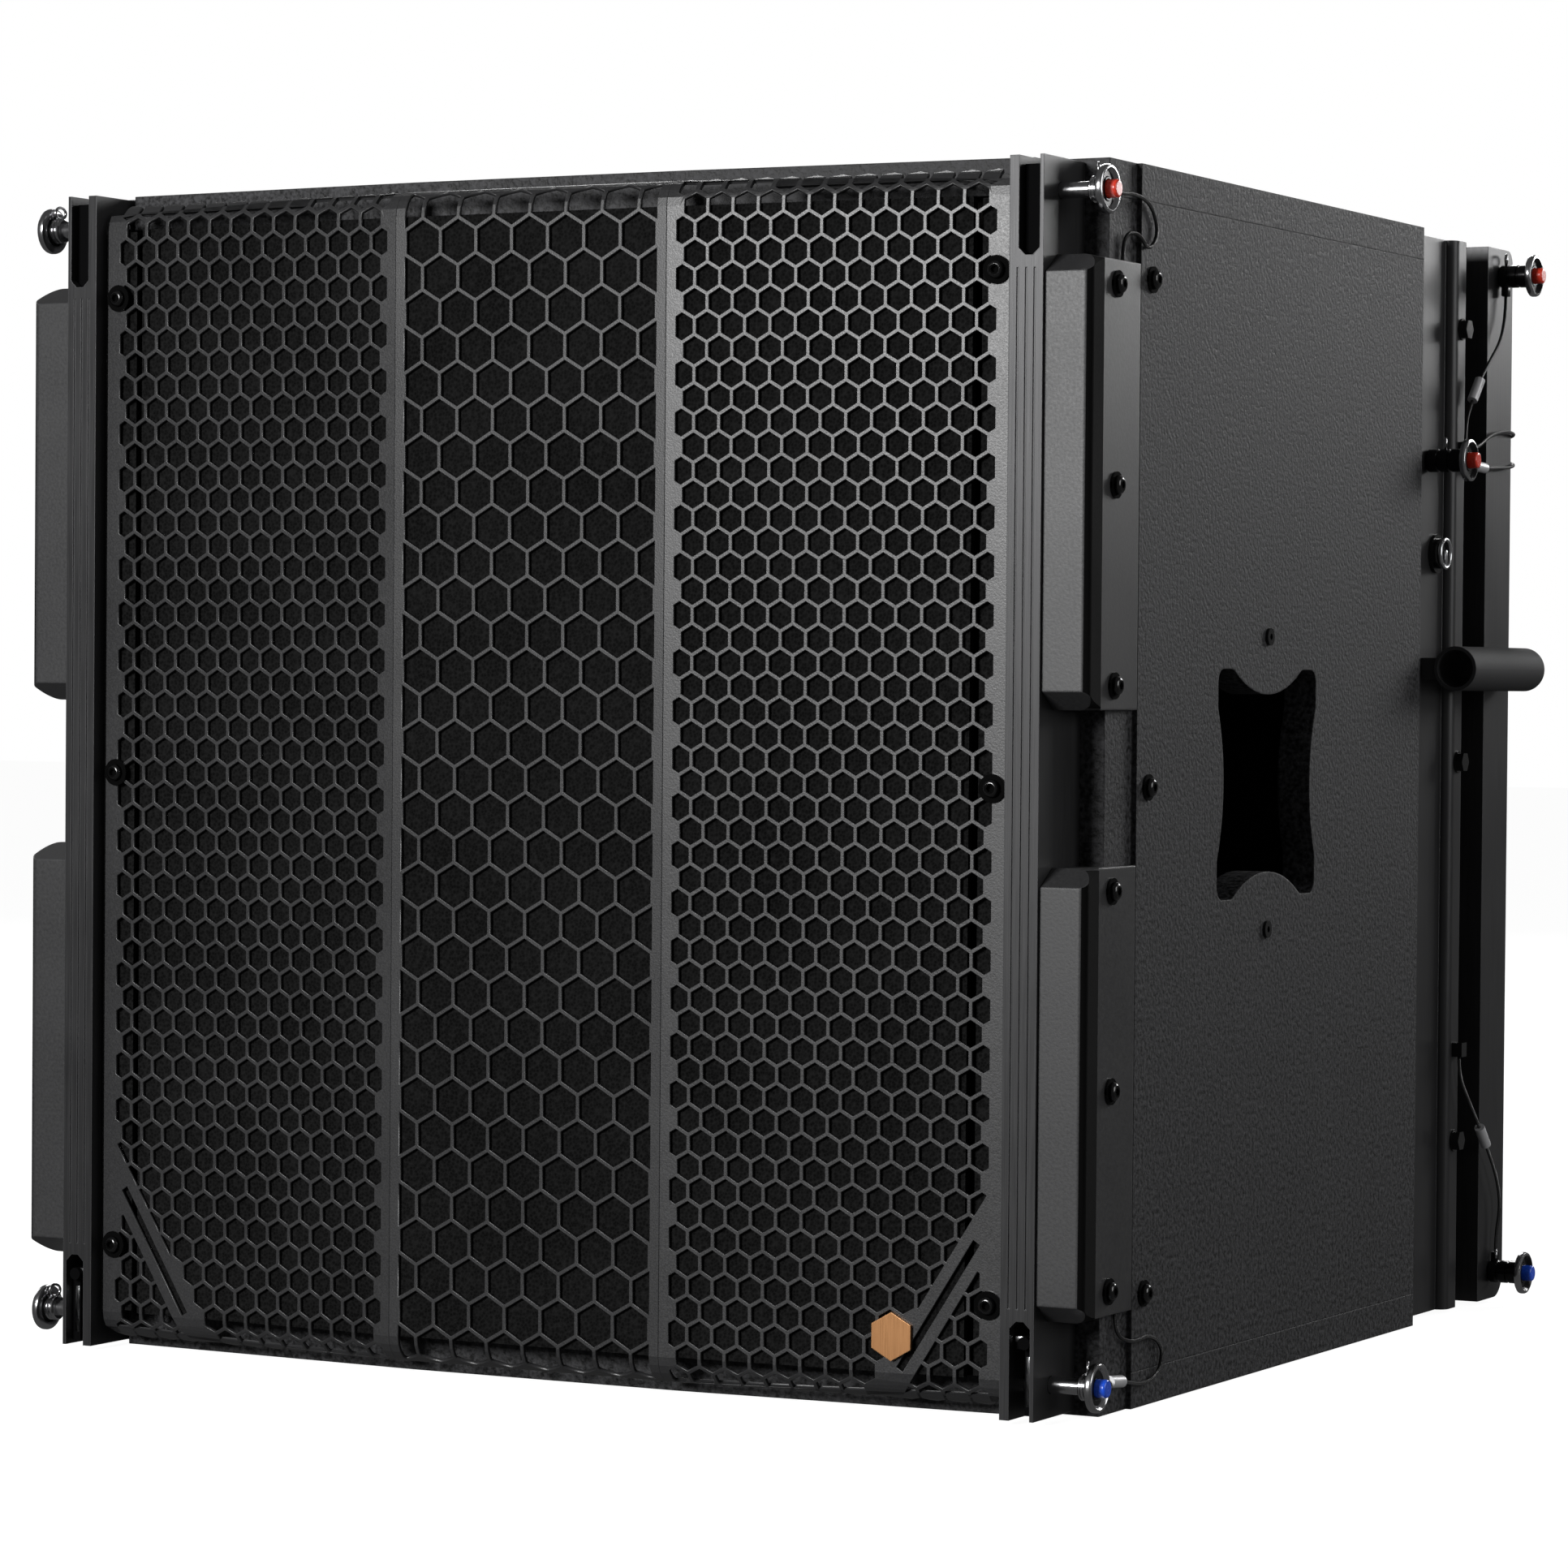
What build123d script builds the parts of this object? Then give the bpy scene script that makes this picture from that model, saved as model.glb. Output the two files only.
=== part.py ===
"""Flown line array loudspeaker: cabinet, three-facet honeycomb grille, rigging and driver.

Millimetres.  +X is the side seen on the right from in front, -Y is the front, +Z is up.  While a piece is modelled, y = 0 is the front
face of the corner posts and z = 0 is the underside of the cabinet.  save() then slides
everything along Y so that the origin lies under the middle of the whole loudspeaker.
"""
from build123d import *
import math
import os

# ---- cabinet -------------------------------------------------------------------------------
cabinet_width = 600.0
cabinet_height = 612.0
side_front = 47.0          # front edge of the side panels, behind the corner posts
side_length = 442.0        # front to back, up to the notch for the rear rail
rear_notch_depth = 111.0   # front to back, behind the side panels
rear_notch_width = 32.0    # how far the notch steps in
panel = 18.0               # plywood thickness
side_step = 36.0           # how far the posts' inner faces stand inside the cabinet's sides
nose_gap = 0.8             # their front edge stands this far behind the grille's lips
rear_bevel_side = 10.0     # bevel on the rear vertical corners, across
rear_bevel_length = 22.0   # and along the side

# ---- corner posts --------------------------------------------------------------------------
post_width = 18.0
post_depth = 47.0
post_end_gap = 2.0         # cabinet stands this far past each end of a post
post_outer_wall = 2.0
post_inner_wall = 5.0
post_front_wall = 5.0
post_back_wall = 6.0
front_slot_length = 48.0   # slots in the front wall, at the top and the bottom
rib_groove = 1.0
rib_groove_depth = 0.6
grille_ledge_width = 19.0
grille_ledge_thickness = 3.0

# ---- links that join this loudspeaker to the one above ---------------------------------------
link_clearance = 0.4
link_travel = 60.0
link_length = 170.0
link_top_gap = 6.0         # below the post's or rail's top
rear_link_thickness = 13.2

# ---- quick-release pins ----------------------------------------------------------------------
pin_radius = 4.0
pin_hole_clearance = 0.3
pin_from_end = 18.0        # pin centre to the cabinet's top or bottom
front_pin_back = 20.0      # pin centre behind the posts' front face
grip_radius = 6.5
flange_radius = 12.0
flange_thickness = 4.0
button_radius = 4.5
button_length = 9.0
button_stand = 4.0
button_travel = 2.5
button_clearance = 0.3
front_pin_stand = 16.5     # bare shaft between post and collar
lug_reach = 11.5           # from the pin's axis to the face that the lanyard leaves
lug_width = 6.0
lug_thickness = 4.0
spare_lug_start = 8.0      # further out on the spare pin, clear of the rail's lip
spare_pin_y = 503.0
spare_pin_from_top = 128.0

# ---- lanyards ---------------------------------------------------------------------------------
lanyard_radius = 1.0
ferrule_radius = 3.0
ferrule_length = 15.0
eye_size = 8.0
eye_high_above_pin = 4.0   # underside of the upper eye, above the spare pin's axis
eye_low_z = 146.0          # underside of the lower eye

# ---- grille ----------------------------------------------------------------------------------
grille_end_gap = 6.0       # from the cabinet's top and bottom
grille_thickness = 2.0
grille_front = -2.0        # outer face of the middle facet
bend_half_width = 79.0
wing_angle = 3.0           # each wing folds back by this much
wing_gap = 0.25            # between a wing's edge and the post
grille_screw_inset = 56.0  # outer screws, from the cabinet's top and bottom
grille_screw_edge = 7.5    # and from the wing's edge
edge_margin = 14.0         # plain strip at the outer edges
lip_radius = 14.0
lip_depth = 24.0
brace_slot_width = 4.0
brace_slot_high = 86.0     # where the slanted slot meets the outer margin
brace_slot_run = 40.0      # how far it runs inward at the bottom
foam_thickness = 5.0
badge_radius = 12.0
badge_thickness = 2.0
badge_from_post = 58.0
badge_z = 38.0

# ---- bumper covers on the front corners --------------------------------------------------------
cover_reach = 9.0          # past the cabinet side
cover_gap = 0.2            # between a cover's flange and the rebate under it
cover_sheet = 2.5
cover_half_gap = 38.0      # hand gap, half its height
cover_end_inset = 49.0     # from the cabinet's top or bottom
cover_flange_end = 79.0
cover_flange_start = 36.0
cover_step = 9.0           # depth over which the wall steps in to the flange
cover_taper = 5.0          # how far the wall leans in before the step
cover_end_run = 9.0        # slanted ends: how far along the cover
cover_end_depth = 14.0     # and how far back
cover_edge = 4.0           # rounding of the long front edge
cover_corner = 11.0
cover_front = 2.0
cover_screw_inset = 12.0
cover_screw_y = 51.0
panel_screw_y = 93.0
panel_screw_depth = 14.0

# ---- carrying handles ----------------------------------------------------------------------------
handle_y = 247.0
handle_width = 132.0
handle_height = 118.0
handle_cup_depth = 58.0
handle_cup_wall = 3.0
handle_screw_reach = 17.0

# ---- rear rails -----------------------------------------------------------------------------------
rail_gap = 0.2
rail_wall = 4.0
strip_length = 39.0
lip_length = 22.0
groove_length = 26.0
link_cell_length = 41.0
rail_end_gap = 2.0
rail_bolt_low = 98.0
rail_bolt_above_middle = 8.0
rail_bolt_from_top = 52.0
eye_screw_share = 5 / 9    # of the way from the guide tube up to the spare pin
eye_screw_radius = 11.0
eye_screw_dome_radius = 8.5
eye_screw_y = 515.5

# ---- guide tubes -------------------------------------------------------------------------------------
tube_outer_radius = 12.5
tube_bore_radius = 10.5
tube_length = 114.0
tube_above_middle = 61.0

# ---- driver and ports ---------------------------------------------------------------------------------
driver_radius = 230.0
driver_flange = 18.0
driver_flange_thickness = 6.0
cone_radius = 189.0
cone_neck_radius = 51.0
cone_depth = 76.0
cone_sheet = 2.0
cap_rim = 60.0
cap_curve = 76.0
basket_depth = 104.0
magnet_radius = 110.0
magnet_depth = 58.0
coil_gap = 2.5
cone_travel = 8.0
port_radius = 45.0
port_x = 214.0
port_from_end = 74.0

# ---- connectors --------------------------------------------------------------------------------------------
plate_width = 180.0
plate_height = 110.0
plate_thickness = 3.0
socket_radius = 16.0
socket_spacing = 60.0

# ---- places that follow from the sizes above -----------------------------------------------------------------
half_width = cabinet_width / 2
middle_z = cabinet_height / 2
grille_bottom = grille_end_gap
grille_top = cabinet_height - grille_end_gap
nose_width = half_width - side_step   # half width of the top and bottom panels between the posts
wing_width = (nose_width - wing_gap - bend_half_width) / math.cos(math.radians(wing_angle))
badge_x = nose_width - badge_from_post
cover_length = middle_z - cover_half_gap - cover_end_inset
spare_pin_z = cabinet_height - spare_pin_from_top
eye_high_z = spare_pin_z + eye_high_above_pin
rail_bolt_heights = (rail_bolt_low, middle_z + rail_bolt_above_middle, cabinet_height - rail_bolt_from_top)
tube_z = middle_z + tube_above_middle
eye_screw_z = tube_z + eye_screw_share * (spare_pin_z - tube_z)
port_z_from_middle = middle_z - port_from_end
rebate_x = half_width - cover_sheet - cover_gap   # the covers' flanges lie flush in a rebate
rebate_end = cover_flange_end + 0.5
flange_x0 = rebate_x + cover_gap
flange_x1 = flange_x0 + cover_sheet
post_inner_x = nose_width + post_end_gap
post_outer_x = post_inner_x + post_width
post_top = cabinet_height - post_end_gap
cavity_x0 = post_inner_x + post_inner_wall
cavity_x1 = post_outer_x - post_outer_wall
cavity_y1 = post_depth - post_back_wall
side_end = side_front + side_length
notch_x = half_width - rear_notch_width
rear_face = side_end + rear_notch_depth
strip_x = half_width - rear_bevel_side
strip_end = side_end + strip_length
lip_end = strip_end + lip_length
groove_end = lip_end + groove_length
rail_back = groove_end + link_cell_length
plate_x = half_width - 2.0
rail_base_x = notch_x + rail_gap
link_cell_x1 = plate_x - rail_wall
link_cell_x0 = link_cell_x1 - rear_link_thickness - 2 * link_clearance
rear_pin_y = (groove_end + rail_back) / 2
pin_top_z = cabinet_height - pin_from_end
baffle_front = side_front
baffle_back = side_front + panel
front_grip_x = post_outer_x + front_pin_stand
rear_grip_x = plate_x + 0.4
spare_grip_x = strip_x + 0.4
shift_y = -(grille_front + rail_back) / 2


def block(x0, x1, y0, y1, z0, z1):
    """A box between two corners."""
    centre = Pos((x0 + x1) / 2, (y0 + y1) / 2, (z0 + z1) / 2)
    return centre * Box(x1 - x0, y1 - y0, z1 - z0)


def rod_x(x0, x1, y, z, radius):
    """A round bar along X."""
    return Pos((x0 + x1) / 2, y, z) * Rot(0, 90, 0) * Cylinder(radius, x1 - x0)


def rod_y(y0, y1, x, z, radius):
    """A round bar along Y."""
    return Pos(x, (y0 + y1) / 2, z) * Rot(90, 0, 0) * Cylinder(radius, y1 - y0)


def prism_z(points, z0, z1):
    """A plan outline raised from z0 to z1."""
    face = Pos(0, 0, z0) * make_face(Polyline(*points, close=True))
    return extrude(face, amount=z1 - z0, dir=(0, 0, 1))


def other_side(shape):
    """The same piece on the -X side."""
    return shape.mirror(Plane.YZ)


def save(name, shape):
    """Write one node, slid to the final origin."""
    solids = [s.moved(Location((0, shift_y, 0))) for s in shape.solids()]
    whole = solids[0] if len(solids) == 1 else Compound(children=solids)
    whole.label = name
    export_step(whole, f"parts/{name}.step")
    print(f"{name:28s} solids {len(solids):3d}")


def save_pair(name, shape):
    """Write a piece and its mirror image."""
    save(f"{name}_right", shape)
    save(f"{name}_left", other_side(shape))


# ---- cabinet ----------------------------------------------------------------------------------------
def lip_back_y(x):
    """Depth of the panels' front edge, just behind the grille's lips."""
    slope = math.radians(wing_angle)
    wing = (x - bend_half_width) * math.tan(slope)
    return grille_front + lip_depth / math.cos(slope) + wing + nose_gap


def lid(z0):
    """Top or bottom panel, with its nose between the corner posts."""
    right = [(bend_half_width, lip_back_y(bend_half_width)), (nose_width, lip_back_y(nose_width)),
             (nose_width, side_front), (rebate_x, side_front), (rebate_x, rebate_end),
             (half_width, rebate_end), (half_width, side_end - rear_bevel_length),
             (strip_x, side_end), (notch_x, side_end), (notch_x, rear_face)]
    left = [(-x, y) for x, y in reversed(right)]
    return prism_z(right + left, z0, z0 + panel)


def handle_outline(grow=0.0):
    """The handle opening: a rectangle whose four sides bow inwards, on the YZ plane."""
    wide = handle_width / 2 + grow
    high = handle_height / 2 + grow
    side_bow = 8.0
    end_bow = 13.0
    lobe = 20.0
    face = Rectangle(2 * wide, 2 * high)
    side_radius = ((high - lobe) ** 2 + side_bow ** 2) / (2 * side_bow)
    end_radius = ((wide - lobe) ** 2 + end_bow ** 2) / (2 * end_bow)
    for sign in (1, -1):
        face -= Pos(sign * (wide + side_radius - side_bow), 0) * Circle(side_radius)
        face -= Pos(0, sign * (high + end_radius - end_bow)) * Circle(end_radius)
    return fillet(face.vertices(), 7.0)


def handle_prism(x0, x1, grow=0.0):
    """The handle opening as a bar along X."""
    plane = Plane(origin=(x0, handle_y, middle_z), x_dir=(0, 1, 0), z_dir=(1, 0, 0))
    return extrude(plane * handle_outline(grow), amount=x1 - x0, dir=(1, 0, 0))


def handle_screw_places():
    """Heights of the two screws that hold a handle cup."""
    reach = handle_height / 2 + handle_screw_reach
    return [middle_z - reach, middle_z + reach]


def side_panel():
    """Right side: the long panel, the step behind it and the narrow wall beside the rail."""
    z0, z1 = panel, cabinet_height - panel
    outline = [(half_width - panel, side_front), (rebate_x, side_front), (rebate_x, rebate_end),
               (half_width, rebate_end), (half_width, side_end - rear_bevel_length), (strip_x, side_end),
               (notch_x, side_end), (notch_x, rear_face), (notch_x - panel, rear_face),
               (notch_x - panel, side_end - panel), (half_width - panel, side_end - panel)]
    body = prism_z(outline, z0, z1)
    body -= handle_prism(half_width - panel - 1, half_width + 1)
    for z in handle_screw_places():
        body -= rod_x(half_width - panel - 1, half_width + 1, handle_y, z, 2.7)
    for z in grille_screw_heights():
        body -= rod_x(half_width - panel_screw_depth - 0.5, half_width + 1, panel_screw_y, z, 3.2)
    return body


def cabinet():
    """Six panels of the cabinet."""
    save("bottom_panel", lid(0.0))
    save("top_panel", lid(cabinet_height - panel))
    save_pair("side_panel", side_panel())
    inner = notch_x - panel
    rear = block(-inner, inner, rear_face - panel, rear_face, panel, cabinet_height - panel)
    cut = block(-plate_width / 2 + 12, plate_width / 2 - 12, rear_face - panel - 1, rear_face + 1,
                middle_z - plate_height / 2 + 12, middle_z + plate_height / 2 - 12)
    save("rear_panel", rear - cut)
    inside = half_width - panel
    board = block(-inside, inside, baffle_front, baffle_back, panel, cabinet_height - panel)
    opening = driver_radius - driver_flange
    board -= rod_y(baffle_front - 1, baffle_back + 1, 0, middle_z, opening)
    for x, z in port_places():
        board -= rod_y(baffle_front - 1, baffle_back + 1, x, z, port_radius)
    save("baffle", board)


def port_places():
    """Centres of the four reflex ports."""
    return [(sx * port_x, middle_z + sz * port_z_from_middle) for sx in (1, -1) for sz in (1, -1)]


# ---- front rigging --------------------------------------------------------------------------------------
def corner_post():
    """Right front post: a box extrusion that carries the link, with a ledge for the grille."""
    body = block(post_inner_x, post_outer_x, 0, post_depth, post_end_gap, post_top)
    body -= block(cavity_x0, cavity_x1, post_front_wall, cavity_y1, 0, cabinet_height)
    slot_top = block(cavity_x0, cavity_x1, -1, post_front_wall + 1,
                     post_top - front_slot_length, cabinet_height)
    slot_top = chamfer(slot_top.edges().filter_by(Axis.Y).group_by(Axis.Z)[0], 3.5)
    slot_bottom = block(cavity_x0, cavity_x1, -1, post_front_wall + 1,
                        0, post_end_gap + front_slot_length)
    slot_bottom = chamfer(slot_bottom.edges().filter_by(Axis.Y).group_by(Axis.Z)[-1], 3.5)
    body -= slot_top
    body -= slot_bottom
    spacing = post_width / 4
    for n in (1, 2, 3):
        x = post_inner_x + n * spacing
        body -= block(x - rib_groove / 2, x + rib_groove / 2, -1, rib_groove_depth,
                      post_end_gap + front_slot_length + 6, post_top - front_slot_length - 6)
    ledge_y = wing_inner_y(post_inner_x) + 0.4
    body += block(post_inner_x - grille_ledge_width, post_inner_x + 1, ledge_y,
                  ledge_y + grille_ledge_thickness, grille_bottom + lip_radius + 1,
                  grille_top - lip_radius - 1)
    for z in (pin_from_end, pin_top_z):
        body -= rod_x(post_inner_x - 1, post_outer_x + 1, front_pin_back, z,
                      pin_radius + pin_hole_clearance)
    return body


def slotted_link(x0, x1, y0, y1, pin_y):
    """A flat link bar; its long slot lets the pin stay in while the bar slides up."""
    z1 = cabinet_height - link_top_gap
    bar = block(x0, x1, y0, y1, z1 - link_length, z1)
    half = pin_radius + 0.5
    low = pin_top_z - link_travel
    bar -= block(x0 - 1, x1 + 1, pin_y - half, pin_y + half, low, pin_top_z)
    bar -= rod_x(x0 - 1, x1 + 1, pin_y, low, half)
    bar -= rod_x(x0 - 1, x1 + 1, pin_y, pin_top_z, half)
    return bar


def link_guide():
    """Spring strip with a thumb knob at the foot of the right post."""
    y0 = post_front_wall + 1.0
    strip = block(cavity_x1 - 5.2, cavity_x1 - 0.4, y0, y0 + 3, 4, 38)
    strip += block(cavity_x0 + 0.6, cavity_x1 - 0.4, y0, y0 + 3, 36, 41)
    strip += rod_y(2.0, y0 + 3, cavity_x1 - 4.2, 39.5, 3.2)
    return strip


def front_rigging():
    """Posts, links and link guides at the two front corners."""
    save_pair("front_post", corner_post())
    link = slotted_link(cavity_x0 + link_clearance, cavity_x1 - link_clearance,
                        post_front_wall + 1.0, cavity_y1 - 1.0, front_pin_back)
    save_pair("front_link", link)
    guide = link_guide()
    save("link_guides", Compound(children=[guide.solids()[0], other_side(guide).solids()[0]]))


# ---- bumper covers -----------------------------------------------------------------------------------------
def cover_spans():
    """Bottom and top of the lower and the upper cover."""
    lower = (middle_z - cover_half_gap - cover_length, middle_z - cover_half_gap)
    upper = (middle_z + cover_half_gap, middle_z + cover_half_gap + cover_length)
    return {"lower": lower, "upper": upper}


def cover_ends(z0, z1, inset):
    """Side outline of a cover, moved in by inset: its front slants back at both ends."""
    slant = math.hypot(cover_end_run, cover_end_depth)
    reach = cover_end_depth * cover_end_run + inset * slant
    y_front = cover_front + inset
    up = (reach - cover_end_run * inset) / cover_end_depth
    back = cover_front + (reach - cover_end_depth * inset) / cover_end_run
    y_end = cover_flange_end + 1
    points = [(y_front, z0 + up), (back, z0 + inset), (y_end, z0 + inset),
              (y_end, z1 - inset), (back, z1 - inset), (y_front, z1 - up)]
    face = make_face(Polyline(*[(post_outer_x - 5, y, z) for y, z in points], close=True))
    return extrude(face, amount=half_width - post_outer_x + cover_reach + 10, dir=(1, 0, 0))


def cover_front_outline(z0, z1, inset):
    """Front outline of a cover, moved in by inset: its two outer corners are rounded."""
    wide = 60.0
    far = half_width + cover_reach - inset
    frame = Plane(origin=(far - wide / 2, cover_front - 5, (z0 + z1) / 2),
                  x_dir=(1, 0, 0), z_dir=(0, 1, 0))
    outline = Rectangle(wide, z1 - z0 - 2 * inset)
    outline = fillet(outline.vertices().group_by(Axis.X)[-1], cover_corner - inset)
    return extrude(frame * outline, amount=cover_flange_end + 20, dir=(0, 1, 0))


def cover_blank(z0, z1, inset):
    """A cover's outer volume, or with an inset the hollow inside it."""
    near = post_outer_x + 0.3 - (1 if inset else 0)
    far = half_width + cover_reach - inset
    skin = flange_x1 - inset
    front = cover_front + inset
    step = cover_flange_start - (inset / 2 if inset else 0)
    back = side_front + 1 if inset else side_front - 0.3
    section = [(near, front), (far, front), (far - cover_taper, step - cover_step), (skin, step),
               (skin, back), (near, back)]
    if not inset:
        section[4:5] = [(skin, cover_flange_end), (flange_x0, cover_flange_end), (flange_x0, back)]
    body = prism_z(section, z0, z1)
    edges = body.edges().filter_by(Axis.Z).filter_by_position(Axis.X, far - 0.1, far + 0.1)
    edges = [e for e in edges if abs(e.center().Y - front) < 0.1]
    body = fillet(edges, cover_edge - inset)
    return body & cover_ends(z0, z1, inset) & cover_front_outline(z0, z1, inset)


def cover(z0, z1):
    """Right-hand pressed cover over the gap between post and side panel, with slanted ends."""
    body = cover_blank(z0, z1, 0.0) - cover_blank(z0, z1, cover_sheet)
    for z in cover_screw_heights(z0, z1):
        body -= rod_x(flange_x0 - 1, flange_x1 + 1, cover_screw_y, z, 3.2)
    return body


def cover_screw_heights(z0, z1):
    """Three screws down a cover's flange."""
    return [z0 + cover_screw_inset, (z0 + z1) / 2, z1 - cover_screw_inset]


def button_screw_x(x, y, z, head_radius, head_height, washer_radius, shank_radius, shank):
    """A button-head socket screw with its washer, pointing along -X from the face at x."""
    screw = rod_x(x, x + 1.2, y, z, washer_radius)
    dome = rod_x(x + 1.2, x + 1.2 + head_height, y, z, head_radius)
    dome = fillet(dome.edges().group_by(Axis.X)[-1], head_height * 0.7)
    screw += dome
    screw += rod_x(x - shank, x + 0.2, y, z, shank_radius)
    socket = Plane(origin=(x + 1.2 + head_height, y, z), x_dir=(0, 1, 0), z_dir=(1, 0, 0))
    screw -= extrude(socket * RegularPolygon(head_radius * 0.42, 6), amount=-head_height * 0.7)
    return screw


def covers():
    """Four covers, and the screws of the sides: three a cover and three a panel."""
    screws = []
    for level, (z0, z1) in cover_spans().items():
        save_pair(f"cover_{level}", cover(z0, z1))
        for z in cover_screw_heights(z0, z1):
            screw = button_screw_x(flange_x1, cover_screw_y, z, 4.6, 3.0, 6.6, 3.0, cover_sheet + 0.1)
            screws += [screw.solids()[0], other_side(screw).solids()[0]]
    for z in grille_screw_heights():
        screw = button_screw_x(half_width, panel_screw_y, z, 4.6, 3.0, 6.6, 3.0, panel_screw_depth)
        screws += [screw.solids()[0], other_side(screw).solids()[0]]
    save("side_screws", Compound(children=screws))


# ---- grille ---------------------------------------------------------------------------------------------------
def wing_inner_y(x):
    """Depth of a wing's inner face at a given x."""
    slope = math.radians(wing_angle)
    return grille_front + (x - bend_half_width) * math.tan(slope) + grille_thickness / math.cos(slope)


def grille_plan(inset):
    """Plan of the folded sheet's front, back to the lips' edge, moved in by inset."""
    slope = math.radians(wing_angle)
    far = bend_half_width + wing_width * math.cos(slope)
    edge = (far, grille_front + wing_width * math.sin(slope))
    bend = (bend_half_width - inset * math.tan(slope / 2), grille_front + inset)
    tip = (edge[0] + 2 * inset, edge[1] + (inset / math.cos(slope)) + 2 * inset * math.tan(slope))
    back = (tip[0], lip_back_y(tip[0]) - nose_gap + 3 * inset)
    bend_back = (bend[0], lip_back_y(bend_half_width) - nose_gap + 3 * inset)
    right = [bend_back, back, tip, bend]
    return right + [(-x, y) for x, y in reversed(right)]


def folded_block(inset):
    """The grille's volume with its top and bottom front edges rounded."""
    low = grille_bottom + inset
    high = grille_top - inset
    volume = prism_z(grille_plan(inset), low, high)
    front = volume.edges().filter_by_position(Axis.Y, grille_front - 1, lip_depth / 2)
    rims = [e for e in front if abs(e.center().Z - low) < 0.1 or abs(e.center().Z - high) < 0.1]
    return fillet([e for e in rims if is_front_edge(e)], lip_radius - inset)


def is_front_edge(edge):
    """True for the edges that run along the front, not back towards the cabinet."""
    start, end = edge.start_point(), edge.end_point()
    return abs(end.Y - start.Y) < abs(end.X - start.X) * 0.2


def brace_line(width):
    """Two points on the middle of the slanted slot: at the outer margin and at the bottom."""
    u_out = width - edge_margin
    return (u_out, brace_slot_high), (u_out - brace_slot_run, grille_bottom + lip_radius + 2)


def brace_normal(width):
    """Unit normal of the slanted slot, pointing to the bottom corner."""
    (u0, z0), (u1, z1) = brace_line(width)
    length = math.hypot(u1 - u0, z1 - z0)
    return ((z0 - z1) / length, -(u0 - u1) / length)


def brace_slot(width):
    """Outline of the slanted slot in a wing's bottom corner."""
    (u0, z0), (u1, z1) = brace_line(width)
    nx, nz = brace_normal(width)
    h = brace_slot_width / 2
    return [(u0 + nx * h, z0 + nz * h), (u1 + nx * h, z1 + nz * h),
            (u1 - nx * h, z1 - nz * h), (u0 - nx * h, z0 - nz * h)]


def wing_place():
    """Where a facet built at the origin goes to be the right wing."""
    return Pos(bend_half_width, grille_front, 0) * Rot(0, 0, wing_angle)


def grille():
    """Middle facet and two wings, with their lips, as one folded sheet."""
    sheet = folded_block(0.0) - folded_block(grille_thickness)
    slot = make_face(Polyline(*[(x, -1, z) for x, z in brace_slot(wing_width)], close=True))
    cuts = [wing_place() * extrude(slot, amount=grille_thickness + 2, dir=(0, 1, 0))]
    for z in grille_screw_heights():
        cuts.append(wing_place() * rod_y(-1, grille_thickness + 1, grille_screw_u(), z, 3.3))
    for cut in cuts:
        sheet -= cut
        sheet -= other_side(cut)
    save("grille", sheet)


def grille_screw_heights():
    """Three screws down each edge of the grille."""
    return [grille_screw_inset, middle_z, cabinet_height - grille_screw_inset]


def grille_screw_u():
    """Distance of the grille screws from the bend, along the wing."""
    return wing_width - grille_screw_edge


def grille_screws():
    """Button-head screws with black washers, through the grille into the posts' ledges."""
    screws = []
    for z in grille_screw_heights():
        upright = button_screw_x(0, 0, 0, 4.4, 3.0, 7.0, 2.9, grille_thickness + 0.3)
        place = wing_place() * Pos(grille_screw_u(), 0, z) * Rot(0, 0, -90)
        screw = place * upright
        screws += [screw.solids()[0], other_side(screw).solids()[0]]
    save("grille_screws", Compound(children=screws))


def grille_foam():
    """Acoustic foam close behind each facet."""
    low = grille_bottom + lip_radius
    high = grille_top - lip_radius
    gap = 0.3
    back = grille_thickness + gap
    reach = wing_width - grille_ledge_width - 2
    middle = block(-bend_half_width + 1, bend_half_width - 1, grille_front + back,
                   grille_front + back + foam_thickness, low, high)
    wing = wing_place() * block(1, reach, back, back + foam_thickness, low, high)
    pieces = [middle.solids()[0], wing.solids()[0], other_side(wing).solids()[0]]
    save("grille_foam", Compound(children=pieces))


def badge():
    """A plain copper hexagon on the right wing."""
    u = (badge_x - bend_half_width) / math.cos(math.radians(wing_angle))
    outline = Plane(origin=(u, 0, badge_z), x_dir=(1, 0, 0), z_dir=(0, -1, 0))
    plate = extrude(outline * RegularPolygon(badge_radius, 6, rotation=30), amount=badge_thickness)
    save("badge", wing_place() * plate)


# ---- handles ----------------------------------------------------------------------------------------------------
def handle_cup():
    """Moulded cup behind the handle opening, with a flange on the panel's inner face."""
    x1 = half_width - panel
    x0 = x1 - handle_cup_depth
    wide = handle_width / 2 + 10
    high = handle_height / 2 + 8
    body = block(x0, x1, handle_y - wide, handle_y + wide, middle_z - high, middle_z + high)
    body = fillet(body.edges().filter_by(Axis.X), 14.0)
    flange_high = handle_height / 2 + handle_screw_reach + 12
    body += block(x1 - handle_cup_wall, x1, handle_y - wide, handle_y + wide,
                  middle_z - flange_high, middle_z + flange_high)
    wall = handle_cup_wall
    hollow = block(x0 + wall, x1 + 1, handle_y - wide + wall, handle_y + wide - wall,
                   middle_z - high + wall, middle_z + high - wall)
    hollow = fillet(hollow.edges().filter_by(Axis.X), 14.0 - wall)
    body -= hollow
    for z in handle_screw_places():
        body -= rod_x(x1 - wall - 1, x1 + 1, handle_y, z, 2.7)
    return body


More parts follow.
